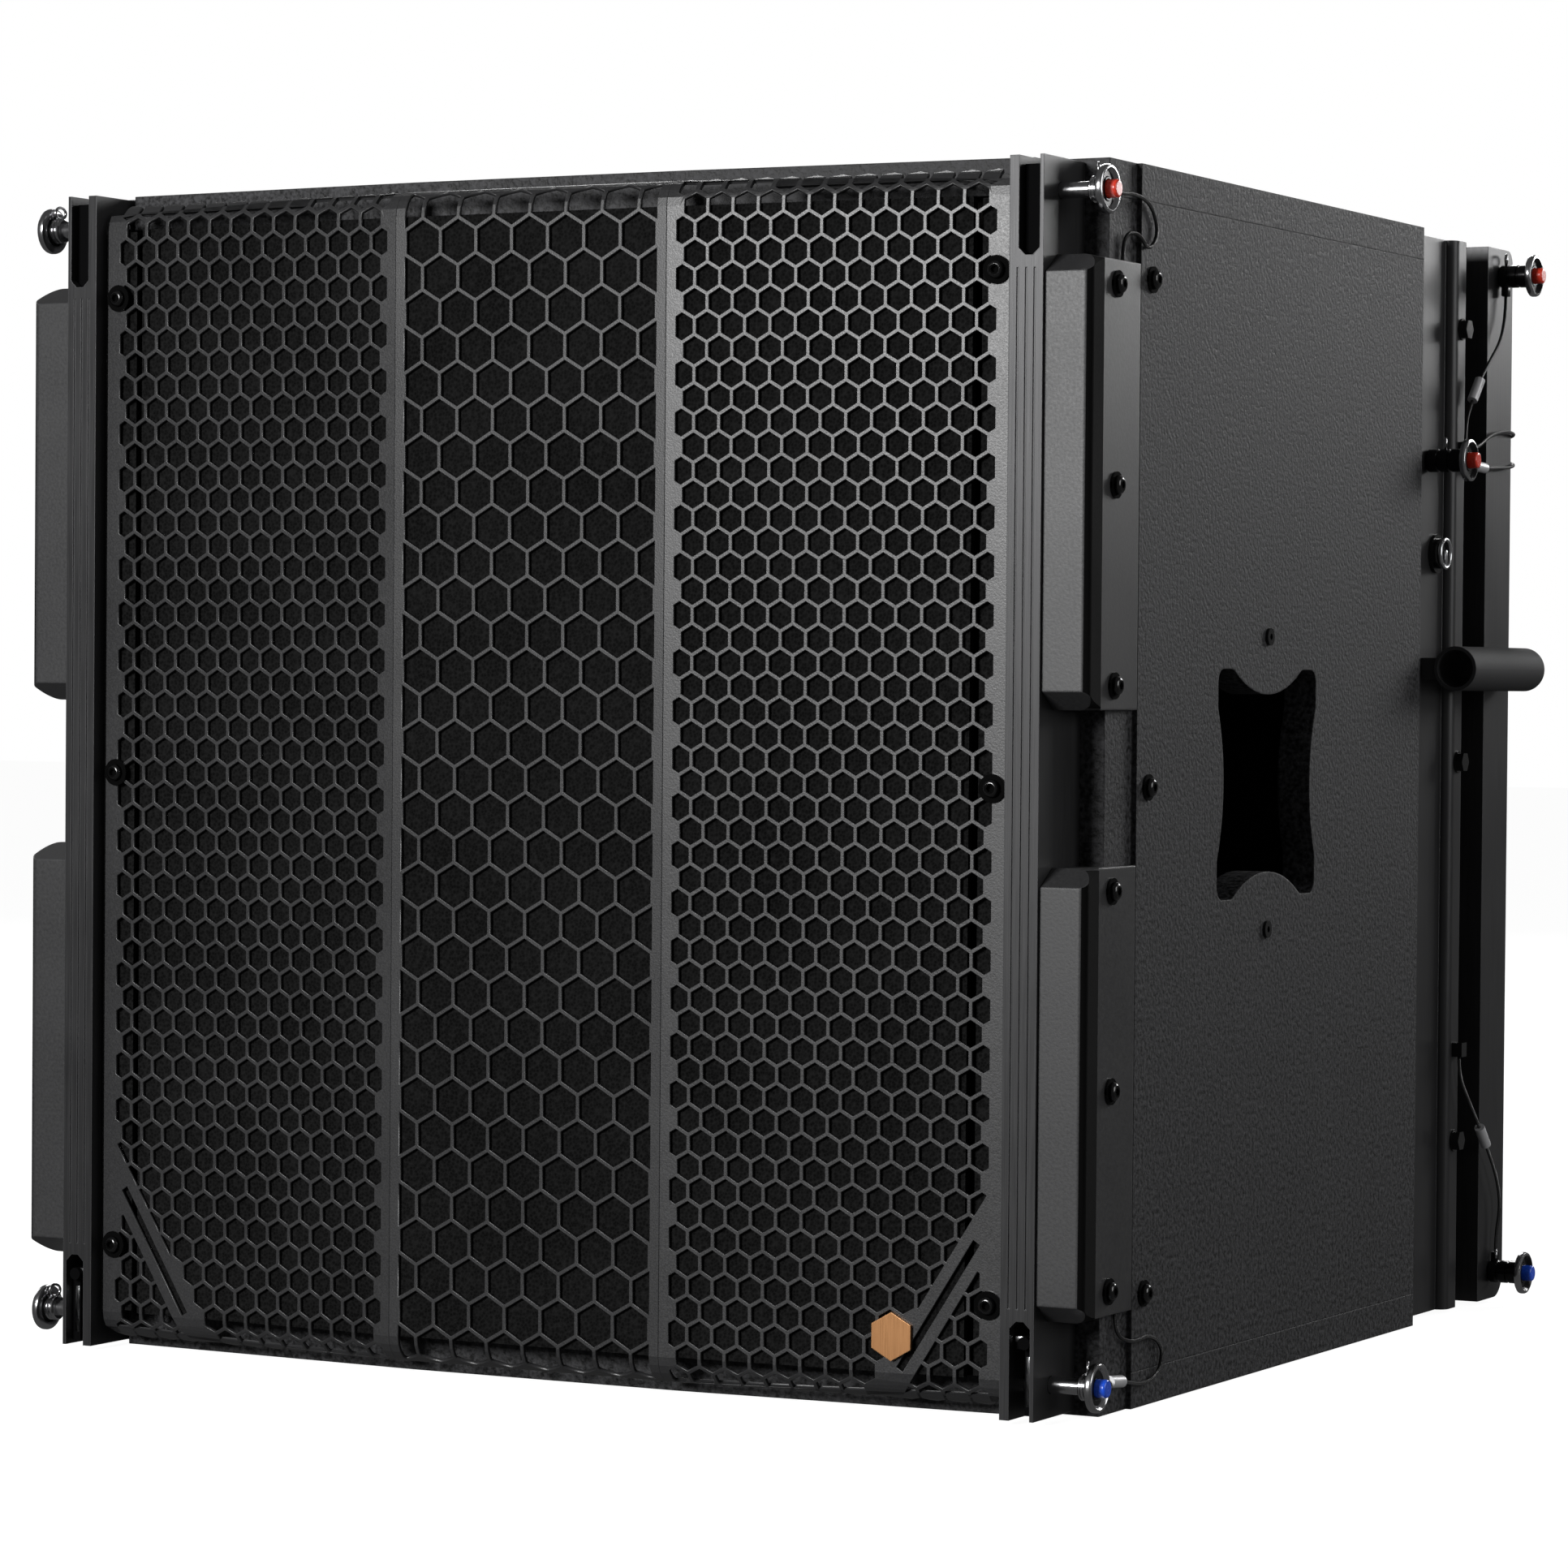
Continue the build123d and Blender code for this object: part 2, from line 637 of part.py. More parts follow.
def handles():
    """Handle cups and the screws that hold them."""
    save_pair("handle_cup", handle_cup())
    screws = []
    for z in handle_screw_places():
        head = rod_x(half_width, half_width + 1.6, handle_y, z, 4.5)
        head += rod_x(half_width - panel - handle_cup_wall, half_width + 0.1, handle_y, z, 2.5)
        socket = Plane(origin=(half_width + 1.6, handle_y, z), x_dir=(0, 1, 0), z_dir=(1, 0, 0))
        head -= extrude(socket * RegularPolygon(1.8, 6), amount=-1.2)
        screws += [head.solids()[0], other_side(head).solids()[0]]
    save("handle_screws", Compound(children=screws))


# ---- rear rigging --------------------------------------------------------------------------------------------------
def rear_rail():
    """Right rear rail: strip, rounded lip, open groove and the closed cell for the link."""
    z0, z1 = rail_end_gap, cabinet_height - rail_end_gap
    y0 = side_end + rail_gap
    base = rail_base_x + rail_wall
    rail = block(rail_base_x, base, y0, rail_back, z0, z1)
    rail += block(base - 1, strip_x, y0, y0 + rail_wall, z0, z1)
    rail += block(strip_x - rail_wall, strip_x, y0, strip_end + 1, z0, z1)
    lip_block = block(base - 1, plate_x - 2, strip_end, lip_end, z0, z1)
    lip_edges = lip_block.edges().filter_by(Axis.Z).group_by(Axis.X)[-1]
    rail += fillet(lip_edges, 6.0)
    cell = block(base - 1, plate_x, groove_end, rail_back, z0, z1)
    back_edges = cell.edges().filter_by(Axis.X).group_by(Axis.Y)[-1]
    cell = fillet(back_edges.sort_by(Axis.Z)[-1], 8.0)
    back_low = cell.edges().filter_by(Axis.X).group_by(Axis.Y)[-1].sort_by(Axis.Z)[0]
    cell = fillet(back_low, 14.0)
    rail = (rail + cell) - block(link_cell_x0, link_cell_x1, groove_end + rail_wall,
                                 rail_back - rail_wall, 0, cabinet_height)
    trim = block(rail_base_x - 1, base + 1, rail_back - 20, rail_back + 1, 0, cabinet_height)
    keep = block(rail_base_x, base + 1, rail_back - 20, rail_back, z0 + 14, z1 - 8)
    rail -= trim - keep
    hole = pin_radius + pin_hole_clearance
    for z in (pin_from_end, pin_top_z):
        rail -= rod_x(rail_base_x + 1, plate_x + 1, rear_pin_y, z, hole)
    rail -= rod_x(strip_x - rail_wall - 1, strip_x + 1, spare_pin_y, spare_pin_z, hole)
    return rail


def hex_bolt_x(x, y, z, flats, height):
    """A hexagon bolt head on the face at x."""
    seat = Plane(origin=(x, y, z), x_dir=(0, 1, 0), z_dir=(1, 0, 0))
    bolt = rod_x(x, x + 1.0, y, z, flats * 0.62)
    bolt += extrude(seat * RegularPolygon(flats / math.sqrt(3), 6), amount=height)
    return bolt


def rail_bolts():
    """Bolts through the rear rails, and the eye screws that anchor the lanyards."""
    bolts = []
    lip_y = (strip_end + lip_end) / 2
    for z in rail_bolt_heights:
        bolt = hex_bolt_x(plate_x - 2, lip_y, z, 10.0, 5.0)
        bolts += [bolt.solids()[0], other_side(bolt).solids()[0]]
    eye = rod_x(strip_x, strip_x + 2.0, eye_screw_y, eye_screw_z, eye_screw_radius)
    dome = rod_x(strip_x + 2.0, strip_x + 5.0, eye_screw_y, eye_screw_z, eye_screw_dome_radius)
    eye += fillet(dome.edges().group_by(Axis.X)[-1], 2.0)
    bolts += [eye.solids()[0], other_side(eye).solids()[0]]
    half = eye_size / 2
    for z in (eye_high_z, eye_low_z):
        lug = block(plate_x - 2, plate_x + 4, lip_y - half, lip_y + half, z, z + eye_size)
        bolts += [lug.solids()[0], other_side(lug).solids()[0]]
    save("rail_bolts", Compound(children=bolts))


def guide_tube():
    """Right guide tube along Y, on two feet welded to the rail."""
    x = plate_x + 0.3 + tube_outer_radius
    y0 = side_end + 5
    y1 = y0 + tube_length
    tube = rod_y(y0, y1, x, tube_z, tube_outer_radius)
    tube += block(plate_x + 0.1, x, y1 - 24, y1 - 4, tube_z - 6, tube_z + 6)
    tube += block(strip_x + 0.1, x, y0 + 2, y0 + 22, tube_z - 6, tube_z + 6)
    return tube - rod_y(y0 - 1, y1 + 1, x, tube_z, tube_bore_radius)


def rear_rigging():
    """Rails, links, bolts and guide tubes at the rear corners."""
    save_pair("rear_rail", rear_rail())
    link = slotted_link(link_cell_x0 + link_clearance, link_cell_x1 - link_clearance,
                        groove_end + rail_wall + 0.5, rail_back - rail_wall - 0.5, rear_pin_y)
    save_pair("rear_link", link)
    rail_bolts()
    save_pair("guide_tube", guide_tube())


# ---- pins ---------------------------------------------------------------------------------------------------------------
def pin_body(tip_x, grip_x, flange_x, y, z, lug, lug_start=1.0):
    """Ball-lock pin along X: shaft, grip, lanyard lug and dished flange with the button bore.

    lug is the direction from the pin's axis to the lug, as (y, z), and lug_start is how far
    along the grip the lug begins.
    """
    end = flange_x + flange_thickness
    body = rod_x(tip_x, grip_x + 0.5, y, z, pin_radius)
    body = fillet(body.edges().group_by(Axis.X)[0], 1.2)
    body += rod_x(grip_x, flange_x + 0.5, y, z, grip_radius)
    flange = rod_x(flange_x, end, y, z, flange_radius)
    flange = fillet(flange.edges().filter_by(GeomType.CIRCLE), 1.2)
    body += flange
    half = lug_width / 2
    reach_y = sorted((y + lug[0] * 4 - abs(lug[1]) * half, y + lug[0] * lug_reach + abs(lug[1]) * half))
    reach_z = sorted((z + lug[1] * 4 - abs(lug[0]) * half, z + lug[1] * lug_reach + abs(lug[0]) * half))
    lug_x = grip_x + lug_start
    body += block(lug_x, lug_x + lug_thickness, *reach_y, *reach_z)
    body -= rod_x(end - 2.0, end + 1, y, z, flange_radius - 3.0)
    bore_start = end + button_stand - button_length - button_travel - 0.5
    body -= rod_x(bore_start, end + 1, y, z, button_radius + button_clearance)
    return body


def pin_button(flange_x, y, z):
    """Coloured push button in the middle of a pin's flange."""
    end = flange_x + flange_thickness + button_stand
    button = rod_x(end - button_length, end, y, z, button_radius)
    return fillet(button.edges().group_by(Axis.X)[-1], 1.2)


def pins():
    """Eight pins that hold the links, and one spare in the right rail."""
    back, up, down = (1, 0), (0, 1), (0, -1)
    for level, z, rear_lug in (("top", pin_top_z, down), ("bottom", pin_from_end, up)):
        save_pair(f"pin_front_{level}", pin_body(post_inner_x - 6, front_grip_x, front_grip_x + 6.0,
                                                 front_pin_back, z, back))
        save_pair(f"button_front_{level}", pin_button(front_grip_x + 6.0, front_pin_back, z))
        save_pair(f"pin_rear_{level}", pin_body(rail_base_x + rail_wall + 1, rear_grip_x,
                                                rear_grip_x + 18.0, rear_pin_y, z, rear_lug))
        save_pair(f"button_rear_{level}", pin_button(rear_grip_x + 18.0, rear_pin_y, z))
    save("pin_spare", pin_body(rail_base_x + rail_wall + 3, spare_grip_x, spare_grip_x + 22.0,
                               spare_pin_y, spare_pin_z, back, spare_lug_start))
    save("button_spare", pin_button(spare_grip_x + 22.0, spare_pin_y, spare_pin_z))


# ---- lanyards -----------------------------------------------------------------------------------------------------------
def lanyard(name, points):
    """A wire rope along a chosen route: straight runs joined by arcs as large as the runs allow."""
    route = [Vector(*p) for p in points]
    radii = []
    for before, here, after in zip(route, route[1:], route[2:]):
        turn = (here - before).get_angle(after - here)
        shorter = min((here - before).length, (after - here).length)
        radii.append(0.45 * shorter / math.tan(math.radians(turn / 2)))
    path = FilletPolyline(*points, radius=radii)
    start = Plane(origin=route[0], z_dir=route[1] - route[0])
    cord = sweep(start * Circle(lanyard_radius), path=path)
    ideal = math.pi * lanyard_radius ** 2 * path.length
    print(f"{name}: length {path.length:.1f}, radii {min(radii):.1f} to {max(radii):.1f}, "
          f"volume {cord.volume / ideal:.4f} of section x length")
    save(name, cord)


def ferrule(a, b, share):
    """A crimped sleeve on the run from a to b, centred at share of the way along."""
    start, end = Vector(*a), Vector(*b)
    along = (end - start).normalized()
    centre = start + (end - start) * share
    sleeve = Plane(origin=centre, z_dir=along) * Cylinder(ferrule_radius, ferrule_length)
    return sleeve.solids()[0]


def lanyards():
    """Five wire lanyards on the right side, and the crimped ferrules on them."""
    flange = (flange_x0 + flange_x1) / 2
    lug_y = front_pin_back + lug_reach
    front_x = front_grip_x + 1 + lug_thickness / 2
    rear_x = rear_grip_x + 1 + lug_thickness / 2
    spare_x = spare_grip_x + spare_lug_start + lug_thickness / 2
    cover_top = cover_spans()["upper"][1]
    cover_bottom = cover_spans()["lower"][0]
    eye_x = plate_x + 1.0
    eye_y = (strip_end + lip_end) / 2
    front_top = [(front_x, lug_y, pin_top_z), (front_x, 44, pin_top_z), (302.4, 65, 596),
                 (301.8, 87, 593), (301.6, 97, 579), (301.6, 85, 569), (302.0, 72, 577.5),
                 (flange, 60, cover_top + 13), (flange, 60, cover_top)]
    front_bottom = [(front_x, lug_y, pin_from_end), (front_x, 43, pin_from_end), (303.4, 63, 16),
                    (303.0, 86, 11.5), (302.2, 108, 14), (301.8, 115, 27), (301.6, 98, 35.5),
                    (302.0, 76, 33), (flange, 62, 38.5), (flange, 62, cover_bottom)]
    rear_top = [(rear_x, rear_pin_y, pin_top_z - lug_reach), (rear_x, rear_pin_y, 572.5),
                (302.5, 586, 556.5), (303.0, 569, 545), (302.5, 553, 533), (301.0, 543, 519),
                (eye_x, eye_y, 507), (eye_x, eye_y, eye_high_z + eye_size)]
    rear_bottom = [(rear_x, rear_pin_y, pin_from_end + lug_reach), (rear_x, rear_pin_y, 39.5),
                   (302.5, 601, 56), (303.0, 592, 74), (303.0, 577, 90), (302.5, 561, 107),
                   (301.0, 549, 121), (eye_x, eye_y, 135), (eye_x, eye_y, eye_low_z)]
    spare = [(spare_x, spare_pin_y + lug_reach, spare_pin_z), (spare_x, 526, spare_pin_z),
             (301.2, 545, 483), (301.6, 567, 482), (301.0, 590, 483.5), (300.8, 606, 484),
             (299.8, 621, 486.5), (287.5, 623, 489.5), (287.5, 623, 500.5), (299.8, 621, 503.5),
             (300.8, 606, 505), (301.4, 590, 504), (301.2, 573, 501), (300.4, 559, 495),
             (eye_x, 550, 492), (eye_x, eye_y + eye_size / 2, eye_high_z + eye_size / 2)]
    lanyard("lanyard_front_top", front_top)
    lanyard("lanyard_front_bottom", front_bottom)
    lanyard("lanyard_rear_top", rear_top)
    lanyard("lanyard_rear_bottom", rear_bottom)
    lanyard("lanyard_spare", spare)
    sleeves = [ferrule(front_bottom[1], front_bottom[2], 0.5),
               ferrule(rear_top[4], rear_top[5], 0.5),
               ferrule(rear_bottom[4], rear_bottom[5], 0.5),
               ferrule(spare[2], spare[3], 0.5)]
    save("lanyard_ferrules", Compound(children=sleeves))


# ---- driver -------------------------------------------------------------------------------------------------------------------
def turned(points):
    """A closed section of (radius, depth) points turned round the driver's axis."""
    face = make_face(Polyline(*[(r, y) for r, y in points], close=True))
    solid = revolve(face, axis=Axis.Y)
    return Pos(0, 0, middle_z) * solid


def driver():
    """Basket, magnet, cone with its coil former, and the surround."""
    y0 = baffle_front - driver_flange_thickness
    rim = driver_radius - driver_flange
    back_y = baffle_front + basket_depth
    back_r = magnet_radius - 5
    basket = turned([(rim - 3, y0), (driver_radius, y0), (driver_radius, baffle_front),
                     (rim - 1, baffle_front), (back_r + 3, back_y), (60, back_y), (60, back_y - 4),
                     (back_r, back_y - 4), (rim - 5, baffle_front)])
    for n in range(6):
        window = Pos(0, 0, middle_z) * Rot(0, 60 * n, 0) * block(
            back_r * 0.45 + 80, driver_radius, baffle_front + 22, back_y - 14, -38, 38)
        basket -= window
    save("driver_basket", basket)
    m0 = back_y
    m1 = back_y + magnet_depth
    former = cone_neck_radius
    magnet = turned([(former + coil_gap, m0), (magnet_radius, m0), (magnet_radius, m1),
                     (18, m1), (18, m0 - 4), (former - coil_gap, m0 - 4),
                     (former - coil_gap, m1 - 14), (former + coil_gap, m1 - 14)])
    save("driver_magnet", magnet)
    front = baffle_front - driver_flange_thickness - 1
    neck = front + cone_depth
    rim_y = neck - (cap_rim - former) * cone_depth / (cone_radius - former) - 0.5
    centre = rim_y + math.sqrt(cap_curve ** 2 - cap_rim ** 2)
    cone = turned([(cone_radius, front), (cone_radius, front + cone_sheet), (former + 1, neck),
                   (former + 1, m0 + 18), (former, m0 + 18), (former, neck - cone_sheet),
                   (cone_radius - 3, front)])
    cap = Pos(0, centre, middle_z) * (Sphere(cap_curve) - Sphere(cap_curve - cone_sheet))
    cap &= rod_y(centre - cap_curve - 1, rim_y + 0.5, 0, middle_z, cap_rim)
    save("driver_cone", cone + cap)
    ring = surround_section(front)
    save("driver_surround", ring)


def surround_section(front):
    """Half-roll rubber surround between the cone's edge and the basket's rim."""
    inner = cone_radius + 0.5
    outer = driver_radius - driver_flange + 2
    middle = (inner + outer) / 2
    radius = (outer - inner) / 2
    sheet = 1.5
    with BuildSketch(Plane.XY) as section:
        with BuildLine():
            ThreePointArc((inner, front), (middle, front - radius), (outer, front))
            Line((outer, front), (outer + 8, front))
            Line((outer + 8, front), (outer + 8, front + 1))
            Line((outer + 8, front + 1), (outer - sheet, front + 1))
            ThreePointArc((outer - sheet, front + 1), (middle, front - radius + sheet),
                          (inner + sheet, front + 1))
            Line((inner + sheet, front + 1), (inner, front))
        make_face()
    return Pos(0, 0, middle_z) * revolve(section.sketch, axis=Axis.Y)


# ---- connectors ------------------------------------------------------------------------------------------------------------------
def connectors():
    """Rear connector plate with two round locking sockets."""
    y0 = rear_face
    y1 = rear_face + plate_thickness
    plate = block(-plate_width / 2, plate_width / 2, y0, y1, middle_z - plate_height / 2,
                  middle_z + plate_height / 2)
    plate = fillet(plate.edges().filter_by(Axis.Y), 8.0)
    sockets = []
    for sign in (1, -1):
        x = sign * socket_spacing / 2
        plate -= rod_y(y0 - 1, y1 + 1, x, middle_z, socket_radius - 3 + 0.2)
        socket = rod_y(y1, y1 + 3, x, middle_z, socket_radius)
        socket += rod_y(y0 - 20, y1, x, middle_z, socket_radius - 3)
        ring = rod_y(y0 - 14, y1 + 4, x, middle_z, 11.0) - rod_y(y0 - 15, y1 + 5, x, middle_z, 7.5)
        socket -= ring
        socket -= rod_y(y0 - 10, y1 + 4, x, middle_z, 3.0)
        sockets.append(socket.solids()[0])
    save("connector_plate", plate)
    save("connector_sockets", Compound(children=sockets))


def main():
    """Write every node."""
    os.makedirs("parts", exist_ok=True)
    cabinet()
    front_rigging()
    covers()
    grille()
    grille_screws()
    grille_foam()
    badge()
    handles()
    rear_rigging()
    pins()
    lanyards()
    driver()
    connectors()


main()
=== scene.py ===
import logging
import math
from dataclasses import dataclass
from enum import Enum

import bpy
from bpy.types import Material, Node, NodeSocket, NodeTree, Object
from mathutils import Matrix, Vector


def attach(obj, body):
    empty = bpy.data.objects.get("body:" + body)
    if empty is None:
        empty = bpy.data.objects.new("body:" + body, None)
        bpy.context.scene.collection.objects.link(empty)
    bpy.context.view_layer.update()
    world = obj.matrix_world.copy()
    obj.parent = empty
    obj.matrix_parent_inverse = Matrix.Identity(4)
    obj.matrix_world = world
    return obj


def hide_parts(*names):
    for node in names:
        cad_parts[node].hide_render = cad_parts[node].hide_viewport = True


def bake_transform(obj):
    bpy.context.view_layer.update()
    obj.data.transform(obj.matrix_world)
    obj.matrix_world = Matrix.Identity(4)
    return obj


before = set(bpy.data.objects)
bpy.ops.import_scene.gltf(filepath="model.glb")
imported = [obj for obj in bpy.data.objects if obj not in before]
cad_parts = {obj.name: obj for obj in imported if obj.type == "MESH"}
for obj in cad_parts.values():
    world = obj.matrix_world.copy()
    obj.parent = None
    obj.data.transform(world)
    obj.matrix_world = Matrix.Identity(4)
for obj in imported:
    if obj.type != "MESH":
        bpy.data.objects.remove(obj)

MM = 0.001
SMOOTH_ANGLE = math.radians(35)  # sharper edges than this stay sharp
WELD = 0.00002  # metres; closer points become one

Point = tuple[float, float, float]
Flat = tuple[float, float]
Place = tuple[str, float, float, bool]  # node, depth and height in millimetres, mirrored

logging.basicConfig(level=logging.INFO, format="%(message)s")
LOG = logging.getLogger("line_array")


# ---- shader helpers ----

def linear(hex_colour: str) -> tuple[float, float, float, float]:
    """Turns an sRGB hex colour to a linear RGBA tuple.

    Args:
        hex_colour: six hex digits, without a hash sign.

    Returns:
        Red, green, blue and an alpha of 1.
    """
    parts = [int(hex_colour[n:n + 2], 16) / 255 for n in (0, 2, 4)]
    return tuple(c / 12.92 if c <= 0.04045 else ((c + 0.055) / 1.055) ** 2.4 for c in parts) + (1.0,)


def add_node(tree: NodeTree, kind: str, settings: dict | None = None,
             links: dict | None = None) -> Node:
    """Adds one shader node with its settings and links.

    Args:
        tree: the material's or world's node tree.
        kind: the node's type name, without its ShaderNode.
        settings: values by property name, or by input name or number.
        links: output sockets by input name or number.

    Returns:
        The new node.
    """
    node = tree.nodes.new("ShaderNode" + kind)
    for key, value in (settings or {}).items():
        if isinstance(key, str) and hasattr(node, key):
            setattr(node, key, value)
        else:
            node.inputs[key].default_value = value
    for key, source in (links or {}).items():
        tree.links.new(source, node.inputs[key])
    return node


class Grain(Enum):
    """How a surface's relief was made."""

    ORANGE_PEEL = "rolled, stippled paint"
    POWDER = "fused powder"
    DRAWN = "drawn along its length"
    TURNED = "turned round the X axis"
    MOULDED = "spark-eroded mould skin"
    CELLS = "open cells"
    FIBRE = "pressed fibre"
    TWIST = "twisted strands, along the piece's own UV map"


@dataclass(frozen=True)
class Finish:
    """One real material and the way its surface was made.

    The colours are sRGB hex, the sizes millimetres. Wear begins and is full where an edge turns
    away by the cosines worn_from and worn_fully.
    """

    name: str
    colour: str
    second: str
    roughness: float
    grain: Grain
    grain_mm: float
    relief_mm: float
    metallic: float = 0.0
    specular: float = 0.5
    coat: float = 0.0
    edge_mm: float = 0.0
    wear: str = ""
    wear_amount: float = 0.5
    drift: float = 0.4
    drift_mm: float = 60.0
    rough_spread: float = 0.08
    contrast: float = 0.5
    coat_roughness: float = 0.12
    worn_from: float = 0.995
    worn_fully: float = 0.85

    def place(self, tree: NodeTree) -> NodeSocket:
        """Gives the coordinates that the grain is laid on.

        Args:
            tree: the material's node tree.

        Returns:
            A vector socket in metres, stretched where the grain has a direction.
        """
        source = add_node(tree, "TexCoord")
        if self.grain is Grain.TWIST:
            return source.outputs["UV"]
        stretch = {Grain.DRAWN: (1.0, 1.0, 0.02), Grain.TURNED: (1.0, 0.08, 0.08)}
        scale = stretch.get(self.grain, (1.0, 1.0, 1.0))
        return add_node(tree, "Mapping", {"Scale": scale},
                        {"Vector": source.outputs["Object"]}).outputs["Vector"]

    def height(self, tree: NodeTree, place: NodeSocket) -> NodeSocket:
        """Builds the relief, from 0 to 1.

        Args:
            tree: the material's node tree.
            place: the coordinates from place().

        Returns:
            A value socket.
        """
        if self.grain is Grain.TWIST:
            wave = add_node(tree, "TexWave",
                            {"wave_type": "BANDS", "bands_direction": "DIAGONAL", "Scale": 1.0,
                             "Distortion": 0.0}, {"Vector": place})
            return wave.outputs["Fac"]
        per_metre = 1.0 / (self.grain_mm * MM)
        if self.grain is Grain.CELLS:
            cells = add_node(tree, "TexVoronoi", {"Scale": per_metre, "Randomness": 1.0},
                             {"Vector": place})
            return cells.outputs["Distance"]
        detail = {Grain.ORANGE_PEEL: 2.0, Grain.POWDER: 1.0, Grain.MOULDED: 2.0, Grain.FIBRE: 5.0}
        noise = add_node(tree, "TexNoise", {"Scale": per_metre, "Detail": detail.get(self.grain, 3.0),
                                            "Roughness": 0.55}, {"Vector": place})
        return noise.outputs["Fac"]

    def build(self) -> Material:
        """Makes the material, once.

        Returns:
            The material of this finish.
        """
        found = bpy.data.materials.get(self.name)
        if found:
            return found
        material = bpy.data.materials.new(self.name)
        material.use_nodes = True
        tree = material.node_tree
        tree.nodes.clear()
        place = self.place(tree)
        height = self.height(tree, place)
        drift = add_node(tree, "TexNoise", {"Scale": 1.0 / (self.drift_mm * MM), "Detail": 4.0},
                         {"Vector": add_node(tree, "TexCoord").outputs["Object"]})
        broad = add_node(tree, "Math", {"operation": "MULTIPLY", 1: self.drift},
                         {0: drift.outputs["Fac"]})
        share = add_node(tree, "Math", {"operation": "MULTIPLY_ADD", 1: 1.0 - self.drift},
                         {0: height, 2: broad.outputs[0]})
        spread = add_node(tree, "MapRange", {"From Min": 0.5 - self.contrast / 2,
                                             "From Max": 0.5 + self.contrast / 2},
                          {"Value": share.outputs[0]})
        colour = add_node(tree, "Mix", {"data_type": "RGBA"}, {0: spread.outputs["Result"]})
        colour.inputs[6].default_value = linear(self.colour)
        colour.inputs[7].default_value = linear(self.second)
        shown = colour.outputs[2]
        rough = add_node(tree, "MapRange",
                         {"To Min": max(0.02, self.roughness - self.rough_spread),
                          "To Max": min(1.0, self.roughness + self.rough_spread)},
                         {"Value": spread.outputs["Result"]})
        bump = add_node(tree, "Bump", {"Strength": 1.0, "Distance": self.relief_mm * MM},
                        {"Height": height})
        if self.edge_mm:
            rounded = add_node(tree, "Bevel", {"samples": 4, "Radius": self.edge_mm * MM})
            tree.links.new(rounded.outputs["Normal"], bump.inputs["Normal"])
            if self.wear:
                shown = self.worn(tree, rounded.outputs["Normal"], shown)
        shader = add_node(tree, "BsdfPrincipled",
                          {"Metallic": self.metallic, "Specular IOR Level": self.specular,
                           "Coat Weight": self.coat, "Coat Roughness": self.coat_roughness},
                          {"Base Color": shown, "Roughness": rough.outputs["Result"],
                           "Normal": bump.outputs["Normal"]})
        add_node(tree, "OutputMaterial", None, {"Surface": shader.outputs["BSDF"]})
        return material

    def worn(self, tree: NodeTree, rounded: NodeSocket,
             under: NodeSocket) -> NodeSocket:
        """Rubs the colour lighter along edges, where cases and hands touch them.

        Args:
            tree: the material's node tree.
            rounded: the normal of the rounded edges.
            under: the colour under the wear.

        Returns:
            The colour with the worn edges.
        """
        flat = add_node(tree, "NewGeometry")
        turn = add_node(tree, "VectorMath", {"operation": "DOT_PRODUCT"},
                        {0: rounded, 1: flat.outputs["True Normal"]})
        edge = add_node(tree, "MapRange",
                        {"From Min": self.worn_from, "From Max": self.worn_fully, "To Min": 0.0,
                         "To Max": self.wear_amount}, {"Value": turn.outputs["Value"]})
        rubbed = add_node(tree, "Mix", {"data_type": "RGBA"},
                          {0: edge.outputs["Result"], 6: under})
        rubbed.inputs[7].default_value = linear(self.wear)
        return rubbed.outputs[2]


# Textured loudspeaker paint on birch ply: sprayed polyurea, so its stipple catches small soft
# lights all over a very dark, matt face. The real stipple is about 1 mm; it is drawn at 2.4 mm
# so that it shows.
CABINET_PAINT = Finish("textured_speaker_paint", "060607", "464648", 0.60, Grain.ORANGE_PEEL, 2.4,
                       0.45, specular=0.34, edge_mm=1.2, wear="3a3a3b", wear_amount=0.3,
                       contrast=0.3, drift=0.06)
# Stained birch ply inside the box: dull brown-black fibre.
STAINED_PLY = Finish("stained_birch_ply", "0a0908", "14110e", 0.85, Grain.FIBRE, 3.0, 0.1,
                     specular=0.2)
# Powder-coated punched steel: even satin skin with a faint ripple, soft lights along each web.
GRILLE_POWDER = Finish("powder_coated_steel", "29292a", "353536", 0.36, Grain.POWDER, 0.9, 0.05,
                       specular=0.6)
# Black anodised extrusion: long faint die lines and a silky, low gloss.
POST_ANODISED = Finish("black_anodised_aluminium", "2c2c2d", "3a3a3b", 0.36, Grain.DRAWN, 0.8, 0.03,
                       metallic=0.35, edge_mm=0.6, wear="8a8a8c", wear_amount=0.6)
# Painted pressed sheet: smooth satin paint, soft rounded edges that catch the light.
COVER_SATIN = Finish("satin_painted_pressing", "2d2d2e", "383839", 0.42, Grain.POWDER, 1.6, 0.04,
                     specular=0.55, edge_mm=1.4, wear="5c5c5e", wear_amount=0.4)
# Painted shade on the covers' flanks, between front and flange: a soft black skin with no shine,
# standing in for the deep shade there.
FLANK_PAINTED_SHADE = Finish("flank_painted_shade", "050505", "0a0a0a", 0.85, Grain.MOULDED, 1.4, 0.05,
                      specular=0.08)
# Reticulated polyurethane foam: open cells that swallow light. The same dark finish is laid on the
# posts' inner ledges as painted shade.
FOAM_AND_LEDGE_SHADE = Finish("reticulated_foam_and_ledge_shade", "060606", "1e1e1e", 0.95, Grain.CELLS, 1.6, 0.8,
                       specular=0.1)
# Blackened steel bar: dark oxide with a low metal gleam.
BLACK_OXIDE = Finish("black_oxide_steel", "050506", "0a0a0b", 0.85, Grain.DRAWN, 0.9, 0.02,
                     specular=0.06)
